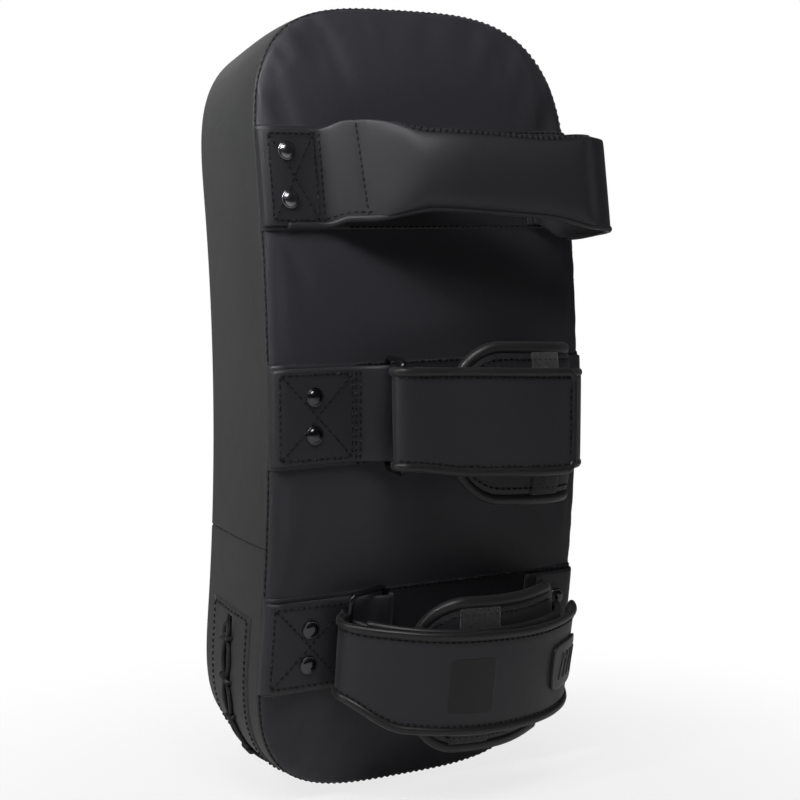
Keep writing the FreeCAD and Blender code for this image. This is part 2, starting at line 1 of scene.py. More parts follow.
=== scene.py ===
"""The visual model of a curved kick shield: leather, stitching, bindings, lacing and metal.

Metres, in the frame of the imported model. The pad is bent about an axis parallel to X, so places on it
are given as x across it, an arc length s up it, and rho, the distance from that axis. A strip of
leather has its own coordinates: u along it, w up the pad and off, which points out of its face.
"""
import bmesh
import bpy
import math
import numpy as np
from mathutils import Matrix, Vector
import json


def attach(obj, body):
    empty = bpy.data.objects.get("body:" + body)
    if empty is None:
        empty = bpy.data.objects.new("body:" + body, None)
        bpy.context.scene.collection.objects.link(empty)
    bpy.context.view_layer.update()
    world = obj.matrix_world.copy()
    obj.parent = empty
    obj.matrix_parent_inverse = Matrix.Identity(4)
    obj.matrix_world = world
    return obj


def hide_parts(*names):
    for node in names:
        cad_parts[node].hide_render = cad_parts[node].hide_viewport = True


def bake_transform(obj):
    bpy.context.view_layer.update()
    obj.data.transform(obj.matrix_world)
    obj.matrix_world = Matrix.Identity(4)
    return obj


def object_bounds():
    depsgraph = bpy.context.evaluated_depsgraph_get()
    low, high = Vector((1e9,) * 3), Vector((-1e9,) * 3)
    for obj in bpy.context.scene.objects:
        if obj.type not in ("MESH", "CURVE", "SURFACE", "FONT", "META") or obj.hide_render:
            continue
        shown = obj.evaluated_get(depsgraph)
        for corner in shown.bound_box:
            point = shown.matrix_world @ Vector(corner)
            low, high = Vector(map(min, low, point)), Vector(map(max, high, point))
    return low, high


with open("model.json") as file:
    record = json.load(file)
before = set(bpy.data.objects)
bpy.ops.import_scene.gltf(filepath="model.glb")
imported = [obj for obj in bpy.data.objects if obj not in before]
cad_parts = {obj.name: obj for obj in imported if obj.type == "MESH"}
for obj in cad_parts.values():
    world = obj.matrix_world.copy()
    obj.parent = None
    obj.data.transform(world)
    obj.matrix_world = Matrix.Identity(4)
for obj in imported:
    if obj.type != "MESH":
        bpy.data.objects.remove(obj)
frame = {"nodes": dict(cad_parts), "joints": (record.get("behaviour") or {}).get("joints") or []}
cad_low, cad_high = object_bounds()

# The pad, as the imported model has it
PAD_MIDDLE = Vector((0.0, -0.034, 0.0))
REAR_RHO = 0.725
REAR_SEAM_RHO = 0.721
STRIKE_SEAM_RHO = 0.665
HALF_WIDTH = 0.091
SIDE_HALF_LENGTH = 0.106
CAP_HEIGHT = 0.094
CAP_POWER = 3.4
GUSSET_GROW = 0.0026
GUSSET_JOIN_S = -0.066
SKIN = 0.0014
PUCKER = 0.00022
PUCKER_REACH = 0.012
FOAM_INSET = 0.0022
FOAM_ROUND = 0.004
SEAM_ROUND = 0.0012
SEAM_DEPTH = 0.0001
STRIKE_OVERHANG = 0.0026

# Rings (grow, rho) from each panel's seam inwards
REAR_RIM = [(-0.0014, 0.7200), (-0.0006, 0.7206), (-0.0001, 0.7213), (0.0001, 0.7221), (-0.0001, 0.7229),
            (-0.0007, 0.7236), (-0.0017, 0.7241), (-0.0033, 0.7245), (-0.0050, 0.7248)]
STRIKE_RIM = [(-0.0010, 0.6668), (0.0000, 0.6658), (0.0009, 0.6649), (0.0015, 0.6639), (0.0017, 0.6628)]

# The laced slit in the lower gusset
SLIT_RHO = 0.693
SLIT_HALF_WIDTH = 0.0025
FACING_HALF_WIDTH = 0.019
FACING_RISE = 0.0011
FACING_LIFT = 0.0009
FACING_THICKNESS = 0.0008
TONGUE_HALF_WIDTH = 0.015
TONGUE_GROW = 0.0009
TONGUE_INSET = 0.004
LACING_TOP_S = -0.1035
LACE_RADIUS = 0.0012
LACE_PITCH = 0.0210
LACE_MARGIN = 0.0170
LACE_NARROW = 0.0010
LACE_BOW = 0.0022
LACE_REACH = 0.0044
SLIT_SHORTER = 0.004

# Stations of the three bands on the rear panel, and the half height and thickness of what is sewn there
HANDLE_S = 0.1136
MIDDLE_S = -0.0015
LOWER_S = -0.1158
BAND_HALF_HEIGHT = 0.0255
BAND_STITCH_X = 0.046
SEWN_HALF_HEIGHT = 0.0235
STRAP_HALF_HEIGHT = 0.025
SHEET_HALF = 0.0012
ON_SHEET = SHEET_HALF + 0.0001
TUCK_X = 0.084

# Sewing and stuffing
CLOTH_FRAMES = 20
CLOTH = {"quality": 6, "mass": 0.25, "tension_stiffness": 25.0, "compression_stiffness": 12.0,
         "shear_stiffness": 8.0, "bending_stiffness": 2.0, "air_damping": 4.0, "use_pressure": True,
         "uniform_pressure_force": 4.0}
PANEL_SWELL = 0.0012
STITCH_PITCH = 0.0034
STITCH_LENGTH = 0.0025
STITCH_PROFILE = [(-0.5, 0.25, -0.8), (-0.36, 0.85, 0.1), (0.0, 1.0, 0.55), (0.36, 0.85, 0.1),
                  (0.5, 0.25, -0.8)]
THREAD_RADIUS = 0.00050

# The handle's centre line (x, h), and how far it droops as (constant, per metre of x)
HANDLE_DROOP = (-0.002, 0.085)
HANDLE_PATH = [(0.0909, -0.0014), (0.0893, 0.0012), (0.0855, 0.0024), (0.076, 0.0026), (0.066, 0.0026),
               (0.059, 0.0036), (0.053, 0.008), (0.038, 0.020), (0.020, 0.031), (-0.010, 0.039),
               (-0.045, 0.044), (-0.070, 0.045), (-0.081, 0.041), (-0.084, 0.032), (-0.080, 0.018),
               (-0.073, 0.011), (-0.0675, 0.0062), (-0.0625, 0.0040)]

# The two forearm straps: their layers' centre lines (x, h), folds, stitches and patches
STRAPS = {
    "middle": {
        "s": MIDDLE_S,
        "droop": (-0.003, 0.045),
        "forearm_w": -0.005,
        "under": [(0.0365, 0.0252), (0.030, 0.0261), (0.022, 0.0272), (0.0, 0.032), (-0.025, 0.0348),
                  (-0.050, 0.0342), (-0.067, 0.028), (-0.0765, 0.017), (-0.0735, 0.008), (-0.066, 0.0045)],
        "tail": [(0.0335, 0.0254), (0.0356, 0.0252), (0.0383, 0.0263), (0.0394, 0.029), (0.0383, 0.0317),
                 (0.0356, 0.0328), (0.0295, 0.0336), (0.015, 0.035), (0.0, 0.037), (-0.025, 0.0398),
                 (-0.048, 0.0394), (-0.061, 0.0364)],
        "forearm": [(0.004, 0.022), (-0.003, 0.0246), (-0.025, 0.0282), (-0.0495, 0.0276),
                    (-0.0625, 0.0228), (-0.0685, 0.0155), (-0.0675, 0.011)],
        "turn": ((0.0034, -0.003), (-0.0056, 0.005)),
        "fold_half": 0.0236,
        "fold_middle": 0.001,
        "tab": [(0.084, 0.0031), (0.070, 0.0031), (0.056, 0.0031), (0.046, 0.0033), (0.036, 0.0064),
                (0.0305, 0.0077), (0.0274, 0.0069), (0.0262, 0.0046)],
        "patch": (0.0882, 0.0465),
        "stitch_x": (0.0472, 0.0448),
        "fuzzy": (0.52, 0.72),
    },
    "lower": {
        "s": LOWER_S,
        "droop": (-0.011, 0.04),
        "forearm_w": -0.012,
        "under": [(0.0482, 0.0108), (0.0473, 0.013), (0.043, 0.020), (0.033, 0.0295), (0.016, 0.038),
                  (-0.005, 0.042), (-0.033, 0.040), (-0.058, 0.030), (-0.072, 0.018), (-0.075, 0.009),
                  (-0.066, 0.0045)],
        "tail": [(0.0491, 0.0095), (0.0518, 0.0084), (0.0545, 0.0095), (0.0556, 0.0122), (0.0560, 0.0150),
                 (0.0552, 0.0182), (0.049, 0.027), (0.036, 0.037), (0.018, 0.0445), (-0.005, 0.0482),
                 (-0.035, 0.046), (-0.061, 0.036), (-0.076, 0.0235), (-0.083, 0.010)],
        "forearm": [(0.022, 0.024), (0.012, 0.0314), (-0.005, 0.0352), (-0.032, 0.0332), (-0.055, 0.0233),
                    (-0.066, 0.014), (-0.0675, 0.0105)],
        "turn": ((0.0034, 0.001), (-0.004, 0.016)),
        "fold_half": 0.0198,
        "fold_middle": 0.0045,
        "tab": [(0.084, 0.0031), (0.072, 0.0031), (0.060, 0.0031), (0.046, 0.0033), (0.034, 0.0064),
                (0.0285, 0.0077), (0.0254, 0.0069), (0.0242, 0.0046)],
        "patch": (0.0882, 0.0460),
        "stitch_x": (),
        "fuzzy": (0.22, 0.44),
    },
}
TAIL_CORNER = 0.007
TAPE_HALF_WIDTH = 0.0021
TAPE_HALF_THICKNESS = 0.00175
TAPE_LIFT = 0.00095
PRINT_X = 0.0
PRINT_HALF_LENGTH = 0.0130
PRINT_HALF_HEIGHT = 0.0135
BADGE_SHARE = 0.835
BADGE_HALF_LENGTH = 0.0165
FOREARM_HALF_HEIGHT = 0.0385
FOREARM_CORNER = 0.026
FOREARM_INSET = 0.0022
CUSHION_POWER = 2.6

# The camera and the light
TARGET = Vector((0.0, -0.032, 0.0))
AZIMUTH = math.radians(148.4)
ELEVATION = math.radians(5.8)
DISTANCE = 0.979
LENS = 85.3
AMBIENT = 0.03
FLOOR_REACH = 8.0


# --- Materials -------------------------------------------------------------------------------------

def shade(colour, factor):
    """A colour made lighter or darker, as the four numbers of a socket."""
    return [min(c * factor, 1.0) for c in colour] + [1.0]


class Nodes:
    """A node tree under construction. A value is a plain one or the output of a node."""

    def __init__(self, tree):
        self.tree = tree

    def put(self, value, socket):
        if isinstance(value, bpy.types.NodeSocket):
            self.tree.links.new(value, socket)
        else:
            socket.default_value = value

    def add(self, kind, **inputs):
        node = self.tree.nodes.new("ShaderNode" + kind)
        for key, value in inputs.items():
            self.put(value, node.inputs[key.replace("_", " ")])
        return node

    def show(self, factor, first, second, output):
        """Shows the second shader where factor is 1, and the first where it is 0."""
        blended = self.add("MixShader", Fac=factor)
        self.put(first, blended.inputs[1])
        self.put(second, blended.inputs[2])
        self.put(blended.outputs["Shader"], self.tree.nodes[output].inputs["Surface"])


class Surface(Nodes):
    """A material under construction."""

    def __init__(self, name):
        self.material = bpy.data.materials.new(name)
        self.material.use_nodes = True
        super().__init__(self.material.node_tree)
        self.shader = self.tree.nodes["Principled BSDF"]

    def finish(self, **inputs):
        """Gives the shader its inputs and returns the material."""
        for key, value in inputs.items():
            self.put(value, self.shader.inputs[key.replace("_", " ")])
        return self.material

    def texture(self, kind, output="Fac", **inputs):
        """A texture in the object's own coordinates."""
        where = self.add("TexCoord").outputs["Object"]
        return self.add("Tex" + kind, Vector=where, **inputs).outputs[output]

    def ranged(self, value, low, high, **ends):
        return self.add("MapRange", Value=value, To_Min=low, To_Max=high, **ends).outputs["Result"]

    def bump(self, height, strength, distance, **below):
        node = self.add("Bump", Height=height, Strength=strength, Distance=distance, **below)
        return node.outputs["Normal"]

    def operate(self, kind, operation, *values):
        """The result of a Math or VectorMath node on values."""
        node = self.add(kind)
        node.operation = operation
        for value, socket in zip(values, node.inputs):
            self.put(value, socket)
        return node.outputs["Value"]

    def mix(self, factor, first, second):
        """Between two numbers or two colours."""
        node = self.add("Mix", Factor=factor)
        number = isinstance(second, float)
        node.data_type = "FLOAT" if number else "RGBA"
        kind = "VALUE" if number else "RGBA"
        ends = [end for end in node.inputs if end.type == kind and end.name in ("A", "B")]
        self.put(first, ends[0])
        self.put(second, ends[1])
        return next(end for end in node.outputs if end.type == kind)

    def band_mask(self, bands):
        """1 inside straight bands across the pad, given as (slant, offset, half width), and 0 outside."""
        where = self.add("TexCoord").outputs["Object"]
        mask = 0.0
        for slant, offset, half_width in bands:
            across = self.operate("VectorMath", "DOT_PRODUCT", where,
                                  (math.cos(slant), 0.0, math.sin(slant)))
            inside = self.operate("Math", "COMPARE", across, offset, half_width)
            mask = self.operate("Math", "MAXIMUM", mask, inside)
        return mask


def leather(name, colour, roughness, grain=0.35, grain_scale=1500.0, bands=()):
    """Coated leather: pebbled grain, soft creases, uneven tone, polished edges and maybe glossier bands."""
    made = Surface(name)
    creases = made.texture("Noise", Scale=70.0, Detail=4.0, Distortion=0.6)
    cells = made.texture("Voronoi", "Distance", Scale=grain_scale, Randomness=1.0)
    pores = made.texture("Noise", Scale=grain_scale * 0.45, Detail=6.0)
    tone = made.texture("Noise", Scale=16.0, Detail=3.0)
    edge = made.add("NewGeometry").outputs["Pointiness"]
    worn = made.ranged(edge, 0.0, 0.45, From_Min=0.52, From_Max=0.62)
    base = made.mix(worn, made.mix(tone, shade(colour, 0.86), shade(colour, 1.16)), shade(colour, 1.9))
    rough = made.ranged(creases, roughness - 0.07, roughness + 0.07)
    if bands:
        mask = made.band_mask(bands)
        base = made.mix(mask, base, (0.006, 0.006, 0.007, 1.0))
        rough = made.mix(mask, rough, 0.30)
    normal = made.bump(creases, 0.30, 0.0009)
    normal = made.bump(cells, grain, 0.00012, Normal=normal)
    normal = made.bump(pores, grain * 0.6, 0.0001, Normal=normal)
    return made.finish(Base_Color=base, Roughness=rough, Normal=normal, Sheen_Weight=0.08,
                       Sheen_Roughness=0.5, Specular_IOR_Level=0.42)


def thread(name, colour, scale):
    """Twisted thread or braided cord: fine slanted ridges."""
    made = Surface(name)
    ridges = made.texture("Wave", Scale=scale, Distortion=1.5)
    ridges.node.bands_direction = "DIAGONAL"
    return made.finish(Base_Color=shade(colour, 1.0), Roughness=made.ranged(ridges, 0.38, 0.6),
                       Normal=made.bump(ridges, 0.6, 0.00025), Specular_IOR_Level=0.3)


def fuzz(name, colour, scale):
    """Hook or loop tape, foam and webbing: a rough, fibrous surface."""
    made = Surface(name)
    fibres = made.texture("Noise", Scale=scale, Detail=8.0, Distortion=2.0)
    ramp = made.add("ValToRGB", Fac=fibres)
    for stop, place_on_ramp, factor in zip(ramp.color_ramp.elements, (0.35, 0.7), (0.35, 1.9)):
        stop.position = place_on_ramp
        stop.color = shade(colour, factor)
    return made.finish(Base_Color=ramp.outputs["Color"], Normal=made.bump(fibres, 0.9, 0.0006),
                       Roughness=0.95, Sheen_Weight=0.4)


def metal(name, colour, roughness, metallic=1.0):
    """Plated or lacquered metal with faint smears and hairline scratches."""
    made = Surface(name)
    smears = made.texture("Noise", Scale=240.0, Detail=5.0)
    scratches = made.texture("Noise", Scale=1400.0, Detail=3.0, Distortion=3.0)
    return made.finish(Base_Color=shade(colour, 1.0), Metallic=metallic,
                       Roughness=made.ranged(smears, roughness * 0.6, roughness * 1.6),
                       Normal=made.bump(scratches, 0.05, 0.0001))


PAD_LEATHER = leather("pad_leather", [0.022, 0.0215, 0.027], 0.56)
STRIKE_LEATHER = leather("strike_leather", [0.022, 0.0215, 0.027], 0.56,
                         bands=[(math.radians(-28), -0.048, 0.011), (math.radians(-28), -0.026, 0.005)])
GUSSET_LEATHER = leather("gusset_leather", [0.030, 0.030, 0.031], 0.58)
STRAP_LEATHER = leather("strap_leather", [0.017, 0.0166, 0.0205], 0.46, grain=0.28)
TAPE_LEATHER = leather("edge_tape", [0.012, 0.012, 0.013], 0.38, grain=0.2, grain_scale=2200.0)
PRINT_INK = leather("printed_square", [0.006, 0.006, 0.007], 0.42, grain=0.12)
BADGE_RUBBER = leather("badge_rubber", [0.016, 0.016, 0.017], 0.34, grain=0.1, grain_scale=900.0)
THREAD = thread("thread", [0.0022, 0.0022, 0.0026], 2600.0 / 6)
CORD = thread("cord", [0.012, 0.012, 0.013], 700.0)
LOOP_TAPE = fuzz("hook_loop", [0.018, 0.018, 0.019], 900.0)
FOAM = fuzz("foam", [0.35, 0.35, 0.36], 500.0)
WEBBING = fuzz("webbing", [0.02, 0.02, 0.02], 700.0)
RING_METAL = metal("ring_metal", [0.012, 0.012, 0.014], 0.16, metallic=0.4)
RIVET_BRIGHT = metal("rivet_bright", [0.30, 0.30, 0.32], 0.20)
RIVET_DARK = metal("rivet_dark", [0.10, 0.10, 0.11], 0.16)
STEEL = metal("steel", [0.5, 0.5, 0.5], 0.3)

# The record's material slot of a surface, where it isn't the surface's own name
SLOTS = {"strike_leather": "pad_leather", "printed_square": "strap_leather", "thread": "strap_leather"}


# --- Meshes ----------------------------------------------------------------------------------------

def smooth(mesh):
    for polygon in mesh.polygons:
        polygon.use_smooth = True


def place(obj, body, nodes=""):
    """obj rides on a body and stands for the CAD nodes named in nodes."""
    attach(obj, body)
    if nodes:
        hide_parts(*nodes.split())
    return obj


def make_object(name, vertices, faces, material, body="pad", nodes="", slot=None):
    """A smooth mesh in the row frame, whose faces look out of it, or out of the pad. It rides on a body."""
    mesh = bpy.data.meshes.new(name)
    mesh.from_pydata([tuple(map(float, v)) for v in vertices], [], faces)
    mesh.validate()
    shape = bmesh.new()
    shape.from_mesh(mesh)
    if all(edge.is_manifold for edge in shape.edges):
        bmesh.ops.recalc_face_normals(shape, faces=shape.faces)
    elif sum((face.calc_center_median() - PAD_MIDDLE).dot(face.normal) for face in shape.faces) < 0:
        bmesh.ops.reverse_faces(shape, faces=shape.faces)
    shape.to_mesh(mesh)
    shape.free()
    mesh.update()
    smooth(mesh)
    mesh.materials.append(material)
    made = bpy.data.objects.new(name, mesh)
    bpy.context.scene.collection.objects.link(made)
    own_slot = material.name.split(".")[0]
    slot or SLOTS.get(own_slot, own_slot)
    return place(made, body, nodes) if body else made


def solidify(obj, thickness):
    """A skin of the given thickness, grown to the inside of its surface."""
    modifier = obj.modifiers.new("skin", "SOLIDIFY")
    modifier.thickness = thickness
    modifier.offset = -1.0
    return obj


def inflate(obj, pinned):
    """Stuffs a leather shell by cloth simulation, held at its pinned vertices, and keeps the result."""
    pins = obj.vertex_groups.new(name="pins")
    pins.add(list(pinned), 1.0, "REPLACE")
    modifier = obj.modifiers.new("cloth", "CLOTH")
    for key, value in CLOTH.items():
        setattr(modifier.settings, key, value)
    modifier.settings.vertex_group_mass = pins.name
    modifier.settings.effector_weights.gravity = 0.0
    modifier.collision_settings.use_collision = False
    modifier.point_cache.frame_start = 1
    modifier.point_cache.frame_end = CLOTH_FRAMES
    for number in range(1, CLOTH_FRAMES + 1):
        bpy.context.scene.frame_set(number)
    settled = obj.evaluated_get(bpy.context.evaluated_depsgraph_get())
    before = np.empty(len(obj.data.vertices) * 3)
    after = np.empty_like(before)
    obj.data.vertices.foreach_get("co", before)
    settled.data.vertices.foreach_get("co", after)
    move = (after - before).reshape(-1, 3)
    length = np.linalg.norm(move, axis=1)
    move *= (PANEL_SWELL * np.tanh(length / PANEL_SWELL) / np.maximum(length, 1e-9))[:, None]
    obj.modifiers.remove(modifier)
    obj.vertex_groups.remove(pins)
    obj.data.vertices.foreach_set("co", before + move.reshape(-1))
    obj.data.update()
    bpy.context.scene.frame_set(1)


def ease(share):
    """A smooth step from 0 to 1 as share goes from 0 to 1."""
    share = min(max(share, 0.0), 1.0)
    return share * share * (3 - 2 * share)


def ring_of(centre, first, second, radius, sides):
    """Points of a circle round a centre, in the plane of two unit directions."""
    turns = [2 * math.pi * k / sides for k in range(sides)]
    return [centre + (first * math.cos(t) + second * math.sin(t)) * radius for t in turns]


def joined_rings(rings, count):
    """Faces between rings of count points that follow one another."""
    faces = []
    for r in range(rings - 1):
        for k in range(count):
            n = (k + 1) % count
            faces.append((r * count + k, r * count + n, (r + 1) * count + n, (r + 1) * count + k))
    return faces


def swept(rows, caps=True):
    """Vertices and faces of closed sections joined one to the next, capped at both ends."""
    count = len(rows[0])
    faces = joined_rings(len(rows), count)
    if caps:
        last = (len(rows) - 1) * count
        faces += [tuple(range(count))[::-1], tuple(range(last, last + count))]
    return [point for row in rows for point in row], faces


def add_swept(vertices, faces, rows):
    """Adds a swept shape to the vertices and faces of a larger one."""
    base = len(vertices)
    more_vertices, more_faces = swept(rows)
    vertices += more_vertices
    faces += [tuple(base + i for i in face) for face in more_faces]


def travel(points):
    """How far along a polyline each of its points lies."""
    return np.concatenate([[0.0], np.cumsum(np.linalg.norm(np.diff(points, axis=0), axis=1))])


def points_at(places, travelled, points):
    """The points of a polyline at places along it."""
    return np.stack([np.interp(places, travelled, column) for column in points.T], axis=1)


def sew(name, lines, body="pad", slot=None, pitch=STITCH_PITCH, radius=THREAD_RADIUS):
    """One object of thread stitches along (points, normals) lines, each diving in at its ends."""
    vertices, faces = [], []
    for points, normals in lines:
        points, normals = np.array(points, float), np.array(normals, float)
        travelled = travel(points)
        count = max(int(round(travelled[-1] / pitch)), 2)
        centres = points_at(np.linspace(0.0, travelled[-1], count + 1), travelled, points)
        for a, b in zip(centres, centres[1:]):
            middle = (a + b) / 2
            normal = Vector(normals[np.argmin(((points - middle) ** 2).sum(1))])
            along = Vector(b - a) * STITCH_LENGTH / STITCH_PITCH
            side = along.cross(normal).normalized()
            rows = []
            for step, size, lift in STITCH_PROFILE:
                centre = Vector(middle) + along * step + normal * radius * lift
                rows.append(ring_of(centre, side, normal, radius * size, 6))
            add_swept(vertices, faces, rows)
    return make_object(name, vertices, faces, THREAD, body, "", slot)


# --- Strips of leather -----------------------------------------------------------------------------

def spline(points, samples=400):
    """Evenly spaced (x, h) along a smooth curve through points, and its length."""
    points = np.array(points, float)
    knots = travel(points)
    count = len(points)
    gaps = np.diff(knots)
    system = np.eye(count)
    right = np.zeros((count, 2))
    for i in range(1, count - 1):
        system[i, i - 1:i + 2] = gaps[i - 1], 2 * (gaps[i - 1] + gaps[i]), gaps[i]
        rise = np.diff(points[i - 1:i + 2], axis=0) / gaps[i - 1:i + 1, None]
        right[i] = 6 * (rise[1] - rise[0])
    curvature = np.linalg.solve(system, right)
    fine = np.linspace(0, knots[-1], samples * 4)
    cell = np.clip(np.searchsorted(knots, fine, side="right") - 1, 0, count - 2)
    gap = gaps[cell][:, None]
    a = (knots[cell + 1] - fine)[:, None] / gap
    b = 1 - a
    curve = (a * points[cell] + b * points[cell + 1]
             + ((a ** 3 - a) * curvature[cell] + (b ** 3 - b) * curvature[cell + 1]) * gap ** 2 / 6)
    travelled = travel(curve)
    return points_at(np.linspace(0, travelled[-1], samples), travelled, curve), travelled[-1]


class Strip:
    """A strip of leather on a centre line (x, h) at a station, drooping where it leaves the panel."""

    def __init__(self, s, points, droop=(0.0, 0.0), wobble=0.0):
        self.s = s
        self.curve, self.length = spline(points)
        self.droop = droop
        self.wobble = wobble
        self.ticks = np.linspace(0, self.length, len(self.curve))
        along = np.gradient(self.curve, axis=0)
        along /= np.linalg.norm(along, axis=1)[:, None]
        self.out = np.stack([along[:, 1], -along[:, 0]], axis=1)

    def at(self, u, w, off):
        """The row-frame point at u along the strip, w up it and off out of its face."""
        x, h = (np.interp(u, self.ticks, self.curve[:, k]) for k in range(2))
        out_x, out_h = (np.interp(u, self.ticks, self.out[:, k]) for k in range(2))
        free = ease((h - 0.003) / 0.008)
        off += self.wobble * free * math.sin(70.0 * u + 55.0 * w) * math.sin(43.0 * u + 1.3)
        height = w + free * (self.droop[0] + self.droop[1] * x)
        rho = REAR_RHO + h + out_h * off + free * height ** 2 / (2 * REAR_RHO)
        angle = (self.s + height) / REAR_RHO
        return Vector((x + out_x * off, rho * math.cos(angle) - REAR_RHO, rho * math.sin(angle)))

    def u_at_x(self, x):
        """Where along the strip its centre line first crosses x."""
        return self.ticks[np.nonzero(np.diff(np.sign(self.curve[:, 0] - x)))[0][0]]

    def line(self, coordinates):
        """(points, normals) along a polyline given in (u, w, off)."""
        dense = []
        for first, second in zip(coordinates, coordinates[1:]):
            first, second = np.array(first), np.array(second)
            steps = max(int(math.hypot(*(second - first)[:2]) / 0.002), 1)
            dense += [first + (second - first) * k / steps for k in range(steps)]
        dense.append(coordinates[-1])
        points = [self.at(*c) for c in dense]
        normals = [(self.at(u, w, o + 0.001) - p).normalized() for (u, w, o), p in zip(dense, points)]
        return points, normals

    def box_cross(self, low, high, half, off):
        """A sewn box with a cross in it, as stitch lines."""
        corners = [(low, half), (high, half), (high, -half), (low, -half), (low, half)]
        return [self.line([(u, w, off) for u, w in path])
                for path in (corners, corners[0:3:2], corners[3:0:-2])]


class Raised:
    """A strip that lies on another, with a lift out of its face that may vary with u and w."""

    def __init__(self, strip, lift):
        self.strip = strip
        self.lift = lift

    def at(self, u, w, off):
        return self.strip.at(u, w, off + (self.lift(u, w) if callable(self.lift) else self.lift))


def sheet(name, strip, start, end, half_height, half_thickness, material, power=9.0, middle=0.0,
          columns=90, rows=17, **where):
    """A strip's leather between two places u. Its two halves, power and middle may vary with u."""
    shares = np.sin(np.linspace(-math.pi / 2, math.pi / 2, rows))
    sections = []
    for u in np.linspace(start, end, columns):
        half, thick, p, centre = (quantity(u) if callable(quantity) else quantity
                                  for quantity in (half_height, half_thickness, power, middle))
        lift = [thick * (1 - abs(a) ** p) ** (1 / p) for a in shares]
        upper = list(zip(shares, lift))
        around = upper + [(a, -o) for a, o in upper[-2:0:-1]]
        sections.append([strip.at(u, centre + half * a, o) for a, o in around])
    return make_object(name, *swept(sections), material, **where)


def bead(name, strip, outline, half_width, half_thickness, material, lift=0.0, **where):
    """Edge tape: a flattened roll that follows an outline given as (u, w) on a strip."""
    last = len(outline) - 1
    turns = [2 * math.pi * k / 12 for k in range(12)]
    rows = []
    for i, (u, w) in enumerate(outline):
        before = outline[max(i - 1, 0)]
        after = outline[min(i + 1, last)]
        step_u, step_w = after[0] - before[0], after[1] - before[1]
        reach = half_width / math.hypot(step_u, step_w)
        rows.append([strip.at(u - step_w * reach * math.cos(t), w + step_u * reach * math.cos(t),
                              lift + half_thickness * math.sin(t)) for t in turns])
    return make_object(name, *swept(rows), material, **where)


def corner_arc(u, w, reach, radius, steps):
    """A quarter turn about (u, w), from the side of a strip to its end."""
    turns = np.linspace(0, math.pi / 2, steps + 1)[1:]
    return [(u + reach * math.sin(t), w + radius * math.cos(t)) for t in turns]


def rounded(left, half, corner):
    """A half height that rounds the corners of a strip, at left before its end."""
    return half - corner + math.sqrt(max(corner ** 2 - max(corner - max(left, 0.0), 0.0) ** 2, 0.0))


# --- The pad ---------------------------------------------------------------------------------------

def out_of(s):
    """The direction out of the rear panel at a station."""
    return Vector((0, math.cos(s / REAR_RHO), math.sin(s / REAR_RHO)))


def body_point(x, s, rho):
    """The row-frame point at x, seam arc length s and distance rho from the bend axis."""
    angle = s / REAR_SEAM_RHO
    return Vector((x, rho * math.cos(angle) - REAR_RHO, rho * math.sin(angle)))


def outline_curve():
    """The pad's outline as a dense closed polyline of (x, s), from the middle of its +X side."""
    turns = np.linspace(0, math.pi, 1441)
    cap_x = HALF_WIDTH * np.sign(np.cos(turns)) * np.abs(np.cos(turns)) ** (2 / CAP_POWER)
    cap_s = SIDE_HALF_LENGTH + CAP_HEIGHT * np.clip(np.sin(turns), 0, 1) ** (2 / CAP_POWER)
    upper = np.stack([cap_x, cap_s], axis=1)
    return np.concatenate([[[HALF_WIDTH, 0.0]], upper, -upper, [[HALF_WIDTH, 0.0]]])


OUTLINE = outline_curve()
TRAVELLED = travel(OUTLINE)
PERIMETER = TRAVELLED[-1]


def on_outline(place_along, grow=0.0):
    """(x, s) at places along the outline, moved outwards by grow."""
    places = np.asarray(place_along, float)
    ahead, here, behind = (points_at(np.mod(places + reach, PERIMETER), TRAVELLED, OUTLINE)
                           for reach in (0.002, 0.0, -0.002))
    along = ahead - behind
    along /= np.linalg.norm(along, axis=1)[:, None]
    return here + np.stack([along[:, 1], -along[:, 0]], axis=1) * np.asarray(grow, float).reshape(-1, 1)


def corner_place():
    """How far along the outline its upper +X corner lies, at equal shares of x and of the cap."""
    upper = OUTLINE[:722]
    gap = np.abs(upper[:, 0] / HALF_WIDTH - (upper[:, 1] - SIDE_HALF_LENGTH) / CAP_HEIGHT)
    gap[upper[:, 1] < SIDE_HALF_LENGTH] = 1.0
    return TRAVELLED[int(np.argmin(gap))]


def ripple(place_along, seed=1.0):
    """An uneven wave round the outline, for the pull of the stitches."""
    turn = 2 * math.pi * place_along / PERIMETER
    return (math.sin(61 * turn + seed) * math.sin(17 * turn + 2 * seed)
            + 0.6 * math.sin(97 * turn + 3 * seed) * math.sin(11 * turn))


def ring_places(across, up):
    """Places round the outline: across of them on each end, and up on each side, from corner to corner."""
    corner, half = corner_place(), PERIMETER / 2
    ends = (corner, half - corner, half + corner, PERIMETER - corner, PERIMETER + corner)
    return np.concatenate([np.linspace(a, b, count, endpoint=False)
                           for a, b, count in zip(ends, ends[1:], (across, up, across, up))])


